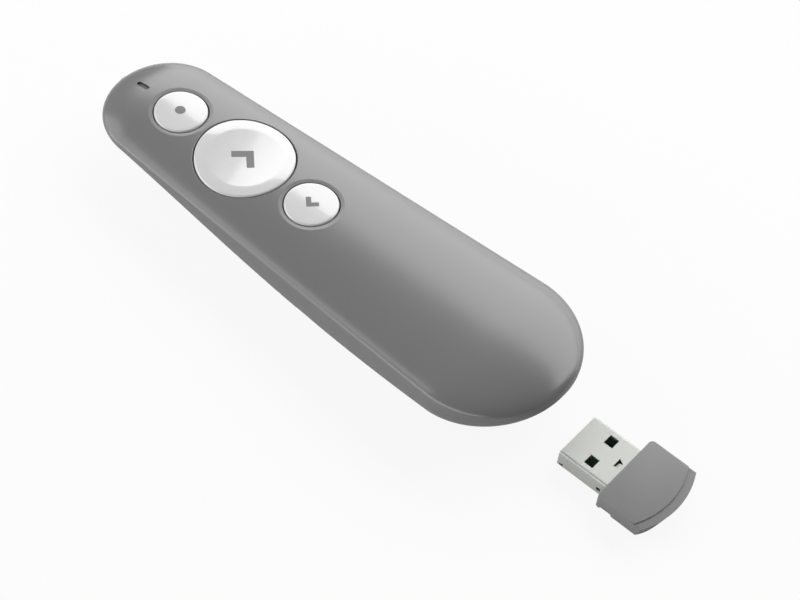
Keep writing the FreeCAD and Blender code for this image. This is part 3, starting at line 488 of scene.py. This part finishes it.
def make_mark(name):
    """A thin inlay whose face follows the cap's."""
    along, radius = BUTTONS[name]
    if name == "laser":
        cutter = tilted_cylinder("dot_cutter", DOT_RADIUS, along - SMALL_MARK_OFFSET, -MARK_DEPTH,
                                 OVERRUN, DOT_ROUND)
    elif name == "forward":
        cutter = bracket("bracket_cutter", along, FORWARD_ARM, FORWARD_ARM_WIDTH, FORWARD_APEX, 1)
    else:
        cutter = bracket("bracket_cutter", along - SMALL_MARK_OFFSET, BACK_ARM, BACK_ARM_WIDTH,
                         BACK_APEX, -1)
    follower = make_cap(name, MARK_RISE)
    carved(follower, cutter, "INTERSECT")
    return smoothed(named(name + "_inlay"), MARK_SHADED_AS_ONE)


def collar_rings(radius, ring):
    """The shell's edge round a cap: a countersunk ring round a small one, and a rolled edge."""
    hole = radius + BUTTON_GAP
    rings = []
    if ring:
        outer = hole + RING_WIDTH
        rings.append((outer + RING_LAP, -RING_LAP / 2, "top"))
        for i in range(RING_STEPS + 1):
            share = i / RING_STEPS
            inwards = RING_WIDTH * RING_SLOPE_SHARE * share
            rings.append((outer - inwards, -RING_DEPTH * countersunk(share), "top"))
        rings += rolled(hole, -RING_DEPTH, HOLE_EDGE, HOLE_EDGE_STEPS, outwards=False)[1:]
    else:
        rings.append((hole + HOLE_ROLL + RING_LAP, -RING_LAP / 2, "top"))
        rings += rolled(hole, 0, HOLE_ROLL, outwards=False)
    rings.append((hole, -SHELL_DEPTH, "top"))
    rings.append((rings[0][0], -SHELL_DEPTH, "top"))
    return rings


def countersunk(share):
    """From 0 at the ring's outer edge to 1, easing in and straight after."""
    return share * share * (2.2 - 1.2 * share)


def make_collar(name):
    along, radius = BUTTONS[name]
    return turned(name + "_collar", along, collar_rings(radius, name != "forward"))


def stadium(name, middle, length, width, bottom, top):
    """A straight slot with round ends, as a cutter."""
    half = (length - width) / 2
    outline = []
    for way, centre in ((1, middle + half), (-1, middle - half)):
        for i in range(SLOT_STEPS + 1):
            angle = -math.pi / 2 + math.pi * i / SLOT_STEPS
            outline.append((centre + way * width / 2 * math.cos(angle), way * width / 2 * math.sin(angle)))
    return prism(name, outline, bottom, top)


def mirrored(outline):
    """The near half of an outline, from front to rear, with its mirror image."""
    return outline + [(x, -y) for x, y in reversed(outline)]


def pan_outline(inset, rear):
    """The front underside moulding in plan: the body's outline set in, cut off straight behind."""
    near = []
    for i in range(PAN_STEPS + 1):
        x = inset + (rear - inset) * (1 - math.cos(math.pi / 2 * i / PAN_STEPS))
        near.append((x, -profile(x, inset)[0]))
    return near + [(x, -y) for x, y in reversed(near[1:])]


def door_outline(gap):
    """The T-shaped door in plan, with a gap round it."""
    tongue = TONGUE_HALF_WIDTH + gap
    shoulder = SHOULDER_FROM_TIP - gap
    wide = SHOULDER_HALF_WIDTH + gap
    rear = DOOR_REAR_FROM_TIP + gap
    rear_side = DOOR_REAR_HALF_WIDTH + gap
    return mirrored([(HINGE_FROM_TIP, -tongue), (shoulder, -tongue), (shoulder, -wide + SHOULDER_CORNER),
                     (shoulder + SHOULDER_CORNER, -wide), (rear - DOOR_CORNER, -rear_side),
                     (rear, -rear_side + DOOR_CORNER)])


def flat_belly(piece):
    """Cut a piece flat where it rests."""
    edited(piece)
    bpy.ops.mesh.bisect(plane_co=(0, 0, 0), plane_no=(0, 0, -1), use_fill=True, clear_outer=True)
    bpy.ops.object.mode_set(mode="OBJECT")
    return piece


def make_shell():
    """The upper shell: the body's skin with its openings, and a rolled edge round each button."""
    shell = flat_belly(body_skin("shell", SHELL_RINGS, SHELL_SEGMENTS))
    carved(shell, body_skin("shell_hollow", HOLLOW_RINGS, HOLLOW_SEGMENTS, WALL, BELLY_WALL))
    for name, (along, radius) in BUTTONS.items():
        extra = RING_WIDTH if name != "forward" else HOLE_ROLL
        carved(shell, tilted_cylinder("opening", radius + BUTTON_GAP + extra, along,
                                      -SHELL_DEPTH * 4, SHELL_DEPTH * 4))
    carved(shell, stadium("lamp_slot", SLOT_FROM_TIP, SLOT_LENGTH, SLOT_WIDTH, PIPE_BOTTOM, PLANE_HEIGHT))
    carved(shell, prism("pan_space", pan_outline(PAN_INSET - SEAM, SHOULDER_FROM_TIP), -OVERRUN,
                        PAN_TOP + SEAM))
    carved(shell, prism("door_space", door_outline(SEAM), -OVERRUN, DOOR_TOP + SEAM))
    carved(shell, block("strip_space", (TIP + DOOR_REAR_FROM_TIP, -STRIP_HALF_WIDTH - SEAM, -OVERRUN),
                        (TIP + DOCK_MOUTH + SEAM, STRIP_HALF_WIDTH + SEAM, STRIP_TOP + SEAM)))
    carved(shell, block("mouth", (TIP + DOCK_MOUTH, -RECESS_HALF_WIDTH, -OVERRUN),
                        (TIP + LENGTH + OVERRUN, RECESS_HALF_WIDTH, RECESS_ROOF)))
    carved(shell, window_rod(APERTURE_RADIUS + APERTURE_GAP))
    shell = joined([shell] + [make_collar(name) for name in BUTTONS], "upper_shell")
    return smoothed(shell)


def make_pipe():
    """The lamp's light pipe: a head that follows the body's top, sunk a little, on a shelf."""
    pipe = stadium("pipe_head", SLOT_FROM_TIP, SLOT_LENGTH - PIPE_GAP * 2, SLOT_WIDTH - PIPE_GAP * 2,
                   PIPE_BOTTOM, PLANE_HEIGHT)
    for vertex in pipe.data.vertices:
        if vertex.co.z > PIPE_BOTTOM + PIPE_SINK:
            vertex.co.z = crown(vertex.co.x - TIP, vertex.co.y) - PIPE_SINK
    low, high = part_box("light_pipe")
    shelf = block("pipe_shelf", (TIP + SLOT_FROM_TIP - LED_LENGTH / 2, low.y, low.z),
                  (TIP + SLOT_FROM_TIP + LED_LENGTH / 2, high.y, low.z + PIPE_SHELF))
    carved(pipe, shelf, "UNION")
    modified(pipe, "BEVEL", width=PIPE_GAP, segments=2, limit_method="ANGLE", angle_limit=EDGE_ANGLE)
    return smoothed(pipe)


def window_rod(radius):
    """The round hole in the tip that the laser shines out of, as a cutter."""
    cleared()
    bpy.ops.mesh.primitive_cylinder_add(vertices=APERTURE_ROUND, radius=radius, depth=WINDOW_DEPTH * 4,
                                        location=(TIP, 0, LASER_HEIGHT), rotation=(0, math.pi / 2, 0))
    return applied(named("window_rod"))


def bar(name, outline, front, rear):
    """A closed outline across the part, drawn along X."""
    cleared()
    bpy.ops.mesh.primitive_circle_add(vertices=len(outline), radius=1, fill_type="NGON")
    piece = named(name)
    for vertex, (y, z) in zip(piece.data.vertices, outline):
        vertex.co = (front, y, z)
    edited(piece)
    bpy.ops.mesh.extrude_region_move(TRANSFORM_OT_translate={"value": (rear - front, 0, 0)})
    bpy.ops.object.mode_set(mode="OBJECT")
    return tidied(piece)


def rounded_box(half, low, high, corner, steps=EDGE_STEPS):
    """A rectangle across the part with its corners rounded."""
    outline = []
    corners = ((half - corner, high - corner, 0), (-half + corner, high - corner, 1),
               (-half + corner, low + corner, 2), (half - corner, low + corner, 3))
    for y, z, quarter in corners:
        for i in range(steps + 1):
            angle = math.pi / 2 * (quarter + i / steps)
            outline.append((y + corner * math.cos(angle), z + corner * math.sin(angle)))
    return outline


def make_plug():
    """The receiver's plug: thin sheet folded round, with two windows and a bent tab."""
    front, rear = PLUG_LOW.x, PLUG_HIGH.x
    half, low, high = PLUG_HIGH.y, PLUG_LOW.z, PLUG_HIGH.z
    plug = bar("plug_sheet", rounded_box(half, low, high, PLUG_CORNER), front, rear)
    inner = rounded_box(half - SHEET, low + SHEET, high - SHEET, PLUG_CORNER - SHEET / 2)
    carved(plug, bar("plug_room", inner, front - OVERRUN, rear + OVERRUN))
    cut_windows(plug)
    base = front - TIP + NOTCH_START
    carved(plug, prism("notch", notch_outline(base), high - SHEET * 2, high + OVERRUN))
    cut_side_holes(plug)
    plug = joined([plug, make_latch_tab(base, high)], "plug")
    modified(plug, "BEVEL", width=SHEET_EDGE, segments=2, limit_method="ANGLE", angle_limit=EDGE_ANGLE)
    smoothed(plug)
    return modified(plug, "WEIGHTED_NORMAL", keep_sharp=True)


def cut_windows(plug):
    """The two square windows, through top and bottom."""
    start = PLUG_LOW.x + WINDOW_START
    for way in (1, -1):
        middle = way * WINDOW_CENTRE
        carved(plug, block("window", (start, middle - WINDOW_WIDTH / 2, PLUG_LOW.z - OVERRUN),
                           (start + WINDOW_LENGTH, middle + WINDOW_WIDTH / 2, PLUG_HIGH.z + OVERRUN)))


def cut_side_holes(plug):
    """The round and the square hole in each side, each cut through both."""
    across = PLUG_HIGH.y * 2
    cleared()
    bpy.ops.mesh.primitive_cylinder_add(
        vertices=SIDE_HOLE_ROUND, radius=SIDE_HOLE_RADIUS, depth=across * 2, rotation=(math.pi / 2, 0, 0),
        location=(PLUG_LOW.x + SIDE_HOLE_FROM_TIP, 0, PLUG_LOW.z + SIDE_HOLE_HEIGHT))
    carved(plug, applied(named("side_hole")))
    square = PLUG_LOW.x + SIDE_SQUARE_FROM_TIP
    middle = PLUG_LOW.z + SIDE_SQUARE_HEIGHT
    carved(plug, block("side_square", (square - SIDE_SQUARE / 2, -across, middle - SIDE_SQUARE / 2),
                       (square + SIDE_SQUARE / 2, across, middle + SIDE_SQUARE / 2)))


def notch_outline(base):
    """The tapered notch in the plug's top, its wide end to the front."""
    rear = base + NOTCH_LENGTH
    return [(base, -NOTCH_WIDTH / 2), (rear, -NOTCH_REAR_WIDTH / 2),
            (rear, NOTCH_REAR_WIDTH / 2), (base, NOTCH_WIDTH / 2)]


def make_latch_tab(base, high):
    """The tab pressed down out of the notch, still joined at its rear edge."""
    rear = base + NOTCH_LENGTH
    half = NOTCH_REAR_WIDTH / 2 - TAB_GAP
    tab = prism("latch_tab", [(rear - TAB_LENGTH, -half), (rear, -half), (rear, half),
                              (rear - TAB_LENGTH, half)], high - SHEET, high - SHEET / 2)
    for vertex in tab.data.vertices:
        if vertex.co.x < TIP + rear - TAB_LENGTH / 2:
            vertex.co.z -= TAB_DIP
    return tab


def round_front(front, half):
    """The receiver's two front corners in plan, from the far side to the near one."""
    outline = []
    for way in (1, -1):
        for i in range(EDGE_STEPS + 1):
            step = i if way > 0 else EDGE_STEPS - i
            angle = math.pi / 2 * step / EDGE_STEPS
            outline.append((front + CAP_FRONT_ROUND * (1 - math.sin(angle)),
                            way * (half - CAP_FRONT_ROUND * (1 - math.cos(angle)))))
    return outline


def cap_arc(shift):
    """The bulged end of the receiver's body, in plan, moved forward by a shift."""
    half = CAP_HIGH.y
    corner = CAP_HIGH.x - TIP - CAP_BULGE - shift
    radius = (half ** 2 + CAP_BULGE ** 2) / (2 * CAP_BULGE)
    centre = corner + CAP_BULGE - radius
    sweep = math.asin(half / radius)
    angles = [sweep * (2 * i / CAP_ARC_STEPS - 1) for i in range(CAP_ARC_STEPS + 1)]
    return [(centre + radius * math.cos(angle), radius * math.sin(angle)) for angle in angles]


def make_receiver_cap():
    """The receiver's grey body: straight sides, a bulged end with a lower lip, a rounded underside."""
    front, half, top = CAP_LOW.x - TIP, CAP_HIGH.y, CAP_HIGH.z
    cap = prism("receiver_body", round_front(front, half) + cap_arc(0), 0, top)
    for vertex in cap.data.vertices:
        if vertex.co.z == 0 and vertex.co.x - TIP > front + CAP_FRONT_ROUND * 2:
            vertex.co.x -= CAP_UNDERCUT
    section = bar("cap_section", cap_section(half, top), CAP_LOW.x - OVERRUN, CAP_HIGH.x + OVERRUN)
    carved(cap, section, "INTERSECT")
    carved(cap, prism("lip", lip_outline(half), top - CAP_LIP_DROP, top + OVERRUN))
    cut_detents(cap)
    carved(cap, block("socket", (CAP_LOW.x - OVERRUN, -PLUG_HIGH.y, PLUG_LOW.z),
                      (PLUG_HIGH.x, PLUG_HIGH.y, PLUG_HIGH.z)))
    modified(cap, "BEVEL", width=CAP_BEVEL, segments=3, limit_method="ANGLE", angle_limit=CAP_EDGE_ANGLE)
    return smoothed(cap)


def cap_section(half, top):
    """Across the receiver's body: a flat floor that curves up to straight sides."""
    side_bottom = top - CAP_SIDE_HEIGHT
    section = []
    for i in range(CAP_SECTION_STEPS + 1):
        y = CAP_FLOOR_FLAT + (half + OVERRUN - CAP_FLOOR_FLAT) * (i / CAP_SECTION_STEPS)
        run = (y - CAP_FLOOR_FLAT) / (half - CAP_FLOOR_FLAT)
        section.append((y, side_bottom * run * (CAP_BELLY_SHARE + (1 - CAP_BELLY_SHARE) * run)))
    section.append((half + OVERRUN, top + OVERRUN))
    return section + [(-y, z) for y, z in reversed(section)]


def lip_outline(half):
    """What lies behind the bulged step in the receiver's top, in plan."""
    arc = cap_arc(CAP_LIP)
    side, rear = half + OVERRUN, CAP_HIGH.x - TIP + OVERRUN
    return [(arc[0][0], -side)] + arc + [(arc[-1][0], side), (rear, side), (rear, -side)]


def cut_detents(cap):
    """A shallow round hollow low on each side, for the fingers."""
    height = CAP_HIGH.z - CAP_SIDE_HEIGHT - DETENT_DROP
    for way in (1, -1):
        cleared()
        bpy.ops.mesh.primitive_cylinder_add(
            vertices=DETENT_ROUND, radius=DETENT_RADIUS, depth=DETENT_DEPTH * 2,
            rotation=(math.pi / 2, 0, 0),
            location=(CAP_LOW.x + DETENT_CENTRE, way * CAP_HIGH.y, height))
        carved(cap, applied(named("detent")))


class Channel:
    """A socket of a material. Sums on it add Math nodes."""

    def __init__(self, wiring, socket):
        self.wiring = wiring
        self.socket = socket

    def __add__(self, other):
        return self.wiring.sum("ADD", self, other)

    __radd__ = __add__

    def __sub__(self, other):
        return self.wiring.sum("SUBTRACT", self, other)

    def __rsub__(self, other):
        return self.wiring.sum("SUBTRACT", other, self)

    def __mul__(self, other):
        return self.wiring.sum("MULTIPLY", self, other)

    __rmul__ = __mul__

    def __gt__(self, other):
        return self.wiring.sum("GREATER_THAN", self, other)


class Wiring:
    """The nodes of a material or of the world."""

    def __init__(self, owner):
        owner.use_nodes = True
        self.tree = owner.node_tree

    def node(self, kind, settings=None, inputs=None, output=0):
        """A node with its settings, then the values or links of its sockets."""
        made = self.tree.nodes.new(kind)
        for key, value in (settings or {}).items():
            setattr(made, key, value)
        for key, value in (inputs or {}).items():
            if isinstance(value, Channel):
                self.tree.links.new(value.socket, made.inputs[key])
            else:
                made.inputs[key].default_value = value
        return Channel(self, made.outputs[output])

    def sum(self, operation, first, second):
        return self.node("ShaderNodeMath", {"operation": operation}, {0: first, 1: second})

    def seen_directly(self):
        """1 for the camera's rays and those that come through clear plastic, else 0."""
        camera = self.node("ShaderNodeLightPath", output="Is Camera Ray")
        through = self.node("ShaderNodeLightPath", output="Is Transmission Ray")
        return self.sum("MAXIMUM", camera, through)

    def shown(self, plain, white, share, output):
        """Show the white shader in place of the plain one, by a share."""
        mixed = self.node("ShaderNodeMixShader", None, {0: share, 1: plain, 2: white})
        self.tree.links.new(mixed.socket, self.tree.nodes[output].inputs[0])


class Finish(Wiring):
    """One material. Its constants go straight on the surface shader's own sockets."""

    def __init__(self, name, **constants):
        self.material = bpy.data.materials.new(name)
        super().__init__(self.material)
        self.surface = self.tree.nodes["Principled BSDF"]
        for label, value in constants.items():
            self.surface.inputs[label.replace("_", " ").title().replace("Ior", "IOR")].default_value = value

    def place(self):
        return self.node("ShaderNodeTexCoord", output="Object")

    def grain(self, size, detail=2, roughness=0.5, where=None):
        """Soft random variation with features of that size in metres."""
        return self.node("ShaderNodeTexNoise", None, {"Vector": where or self.place(), "Scale": 1 / size,
                                                      "Detail": detail, "Roughness": roughness})

    def mix(self, share, first, second):
        """From one colour to another."""
        return self.node("ShaderNodeMix", {"data_type": "RGBA"}, {0: share, 6: first, 7: second}, 2)

    def bump(self, height, distance):
        return self.node("ShaderNodeBump", None, {"Height": height, "Distance": distance, "Strength": 1})

    def feed(self, **links):
        """Link what changes over the surface to the shader's sockets."""
        for label, channel in links.items():
            self.tree.links.new(channel.socket, self.surface.inputs[label.replace("_", " ").title()])
        return self.material


def grey(value):
    return (value, value, value, 1)


def toned(colour, factor):
    """A colour made lighter or darker."""
    return tuple(min(1, part * factor) for part in colour[:3]) + (1,)


def moulded(name, colour, roughness, grain_size, grain_depth, mottle=0.04, **constants):
    """Moulded plastic: a fine even texture, and slight drifts of tone and gloss."""
    finish = Finish(name, **constants)
    drift = finish.grain(14 * MM, 3)
    fine = finish.grain(grain_size, 4, 0.6)
    tone = finish.mix(drift * 0.7 + fine * 0.3, toned(colour, 1 - mottle), toned(colour, 1 + mottle))
    return finish.feed(base_color=tone,
                       roughness=roughness - 0.05 + (drift * 0.6 + fine * 0.4) * 0.1,
                       normal=finish.bump(fine, grain_depth))


def drawn_metal(name, colour, roughness, run, metallic=1):
    """Metal with fine lines along one axis, and faint handling marks."""
    finish = Finish(name, metallic=metallic)
    stretch = finish.node("ShaderNodeMapping", None, {"Vector": finish.place(), "Scale": run})
    lines = finish.grain(0.05 * MM, 3, 0.7, stretch)
    marks = finish.grain(2.5 * MM, 4)
    return finish.feed(base_color=finish.mix(lines * 0.5 + marks * 0.5, toned(colour, 0.9), colour),
                       roughness=roughness - 0.06 + (marks * 0.6 + lines * 0.4) * 0.14,
                       normal=finish.bump(lines, 0.002 * MM))


def clear_plastic(name, colour, roughness, clearness):
    """Clear moulded plastic with a little haze in it."""
    finish = Finish(name, transmission_weight=clearness, ior=1.49)
    haze = finish.grain(3 * MM, 2)
    return finish.feed(base_color=finish.mix(haze, colour, toned(colour, 1.05)),
                       roughness=roughness + haze * 0.06)


def circuit_board(name):
    """Green solder mask over faint tracks."""
    finish = Finish(name, coat_weight=0.4, coat_roughness=0.15)
    tracks = finish.node("ShaderNodeTexVoronoi", {"feature": "F1", "distance": "MANHATTAN"},
                         {"Vector": finish.place(), "Scale": 1 / (2.2 * MM)})
    edge = finish.sum("PINGPONG", tracks * 5, 0.5) > 0.38
    fine = finish.grain(0.4 * MM, 2)
    return finish.feed(base_color=finish.mix(edge * 0.6 + fine * 0.2, (0.008, 0.075, 0.035, 1),
                                             (0.02, 0.16, 0.075, 1)),
                       roughness=0.38 + fine * 0.12, normal=finish.bump(edge, 0.02 * MM))


def case_finish():
    """Soft-touch grey with a very fine grain."""
    finish = Finish("soft_touch_grey", coat_weight=0)
    drift = finish.grain(22 * MM, 3)
    fine = finish.grain(0.16 * MM, 3, 0.6)
    tone = drift * 0.5 + fine * 0.5
    return finish.feed(base_color=finish.mix(tone, grey(0.141), grey(0.163)),
                       roughness=0.19 + drift * 0.04 + fine * 0.04,
                       normal=finish.bump(fine, 0.003 * MM))


# The finishes of the pieces
CASE = case_finish()
RECEIVER = moulded("receiver_grey", grey(0.165), 0.5, 0.25 * MM, 0.002 * MM)
WHITE = moulded("gloss_white", grey(0.55), 0.14, 2.5 * MM, 0.0005 * MM, 0.015, coat_weight=0.5,
                coat_roughness=0.05)
MARK = moulded("mark_grey", grey(0.13), 0.42, 0.2 * MM, 0.002 * MM, 0.05)
BLACK = moulded("inner_black", grey(0.025), 0.55, 0.3 * MM, 0.01 * MM, 0.15)
PARTS = moulded("part_black", grey(0.02), 0.4, 0.15 * MM, 0.005 * MM, 0.2)
LAMP_WHITE = moulded("lamp_white", grey(0.8), 0.3, 0.2 * MM, 0.002 * MM, 0.03)
INSULATOR = moulded("insulator", (0.03, 0.03, 0.032, 1), 0.45, 0.2 * MM, 0.004 * MM, 0.1)
FOAM = moulded("foam_pad", grey(0.03), 0.85, 0.12 * MM, 0.05 * MM, 0.3)
SILICONE = moulded("silicone", grey(0.55), 0.5, 0.4 * MM, 0.004 * MM, 0.05)
RED_WIRE = moulded("red_insulation", (0.42, 0.02, 0.02, 1), 0.4, 0.3 * MM, 0.003 * MM, 0.1)
SLEEVE = moulded("cell_print", (0.03, 0.05, 0.09, 1), 0.25, 0.8 * MM, 0.002 * MM, 0.1)
# The light pipe's own grey, made darker with painted shade that stands in for the shade down in the lamp
# slot
PIPE = moulded("pipe_grey_with_painted_shade", grey(0.075), 0.4, 0.4 * MM, 0.001 * MM, 0.1)
WINDOW = moulded("dark_window", (0.012, 0.004, 0.006, 1), 0.06, 1.5 * MM, 0.0005 * MM, 0.2)
PLATING = drawn_metal("satin_plating", (0.455, 0.465, 0.44, 1), 0.42, (1, 8, 8), 0.3)
STEEL = drawn_metal("plated_steel", (0.78, 0.77, 0.75, 1), 0.3, (1, 8, 8))
CAN = drawn_metal("cell_can", (0.7, 0.7, 0.7, 1), 0.25, (1, 6, 6))
BRASS = drawn_metal("turned_brass", (0.72, 0.48, 0.2, 1), 0.25, (6, 1, 1))
GOLD = drawn_metal("gold_plate", (0.85, 0.6, 0.25, 1), 0.25, (1, 6, 1))
LENS = clear_plastic("clear_moulding", (0.9, 0.9, 0.92, 1), 0.05, 0.9)
BOARD = circuit_board("green_board")

# What each CAD piece that still shows is made of
FINISHES = {
    "top_shell": CASE, "bottom_pan": CASE, "receiver_dock": CASE, "battery_door": CASE,
    "door_pad": FOAM, "hinge_pin": STEEL, "battery_tray": BLACK, "aaa_cell": CAN,
    "cell_sleeve": SLEEVE, "negative_plate": STEEL, "positive_plate": STEEL,
    "negative_spring": STEEL, "battery_leads": RED_WIRE, "case_screws": STEEL,
    "main_board": BOARD, "switch_housings": PARTS, "radio_chip": PARTS, "crystal_can": STEEL,
    "board_parts": PARTS, "status_led": LAMP_WHITE, "light_pipe": PIPE, "laser_barrel": BRASS,
    "laser_lens": LENS, "laser_diode": GOLD, "aperture_window": WINDOW, "laser_mount": BLACK,
    "laser_leads": RED_WIRE, "laser_button": WHITE, "laser_mark": MARK, "laser_stem": SILICONE,
    "forward_button": WHITE, "forward_mark": MARK, "forward_stem": SILICONE,
    "back_button": WHITE, "back_mark": MARK, "back_stem": SILICONE, "receiver_cap": RECEIVER,
    "plug_shell": STEEL, "plug_core": INSULATOR, "plug_board": BOARD, "plug_contacts": GOLD,
    "receiver_chip": PARTS,
}
for name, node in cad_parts.items():
    node.data.materials.clear()
    node.data.materials.append(FINISHES[name])


def dressed(piece, finish, body, slot, *nodes):
    """Give a piece its finish and its body, and let it stand for its nodes."""
    piece.data.materials.clear()
    piece.data.materials.append(finish)
    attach(piece, body)
    if nodes:
        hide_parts(*nodes)
    return piece


dressed(make_shell(), CASE, "root", "case_grey", "top_shell")
for name in BUTTONS:
    body = name + "_button"
    dressed(smoothed(make_cap(name), CAP_SHADED_AS_ONE), WHITE, body, "button_white", name + "_button")
    dressed(make_mark(name), MARK, body, "mark_grey", name + "_mark")
dressed(make_pipe(), PIPE, "root", "clear", "light_pipe")
dressed(make_receiver_cap(), RECEIVER, "receiver", "case_grey", "receiver_cap")
dressed(make_plug(), PLATING, "receiver", "steel", "plug_shell")


# Floor, lights and camera
FLOOR_SIZE = 6
FLOOR_DROP = 0.03 * MM
FLOOR_DRIFT = 0.4
FLOOR_WHITE_SHARE = 0.9
WORLD_LIGHT = 0.1
LIGHTS = {
    # middle, width, height, power in watts, where it looks
    "far_softbox": ((-0.15, 0.665, 0.515), 1.5, 0.567, 12, (-0.15, 0.274, 0.06)),
    "far_strip": ((-0.095, 1.08, 0.19), 2, 0.34, 5.6, (0, 0, 0)),
    "near_strip": ((-0.205, -1.164, 0.208), 2.6, 0.5, 14.7, (0, 0, 0)),
    "tip_fill": ((-0.825, -0.476, 0.55), 1, 1, 8.2, (0, 0, 0)),
}
SENSOR_WIDTH = 36
FOCAL_LENGTH = 102.254
NEAREST_SEEN = 0.01
CAMERA_PLACE = (0.1727951, -0.2347457, 0.38375692)
CAMERA_RIGHT = (0.75466038, 0.65129513, 0.07938744)
CAMERA_UP = (-0.55882512, 0.57463293, 0.59792263)


def make_floor():
    """A pale floor that keeps a trace of the shadow where the camera sees it."""
    cleared()
    bpy.ops.mesh.primitive_plane_add(size=FLOOR_SIZE, location=(0, 0, -FLOOR_DROP))
    floor = applied(named("floor"))
    finish = Finish("pale_floor", roughness=0.9)
    finish.feed(base_color=finish.mix(finish.grain(FLOOR_DRIFT), grey(0.64), grey(0.68)))
    white = finish.node("ShaderNodeEmission", None, {"Color": grey(1), "Strength": 1})
    plain = Channel(finish, finish.surface.outputs[0])
    finish.shown(plain, white, finish.seen_directly() * FLOOR_WHITE_SHARE, "Material Output")
    floor.data.materials.append(finish.material)


def make_world():
    """Dim light from all round, and a white background where the camera sees it."""
    world = bpy.data.worlds.new("studio")
    bpy.context.scene.world = world
    sky = Wiring(world)
    dim = sky.tree.nodes["Background"]
    dim.inputs["Color"].default_value = grey(1)
    dim.inputs["Strength"].default_value = WORLD_LIGHT
    white = sky.node("ShaderNodeBackground", None, {"Color": grey(1), "Strength": 1})
    sky.shown(Channel(sky, dim.outputs[0]), white, sky.seen_directly(), "World Output")


def make_lights():
    for name, (spot, width, height, power, target) in LIGHTS.items():
        lamp = bpy.data.lights.new(name, "AREA")
        lamp.shape = "RECTANGLE"
        lamp.size = width
        lamp.size_y = height
        lamp.energy = power
        holder = bpy.data.objects.new(name, lamp)
        holder.location = spot
        holder.rotation_euler = (Vector(target) - Vector(spot)).to_track_quat("-Z", "Y").to_euler()
        bpy.context.scene.collection.objects.link(holder)


def make_camera():
    """The camera stands where the photographer's did, as the plug's and the buttons' outlines give it."""
    lens = bpy.data.cameras.new("camera")
    lens.sensor_width = SENSOR_WIDTH
    lens.lens = FOCAL_LENGTH
    lens.clip_start = NEAREST_SEEN
    camera = bpy.data.objects.new("camera", lens)
    right, up = Vector(CAMERA_RIGHT), Vector(CAMERA_UP)
    turn = Matrix((right, up, right.cross(up))).transposed().to_4x4()
    camera.matrix_world = Matrix.Translation(CAMERA_PLACE) @ turn
    bpy.context.scene.collection.objects.link(camera)
    bpy.context.scene.camera = camera


make_floor()
make_world()
make_lights()
make_camera()
bpy.context.scene.view_settings.view_transform = "Standard"
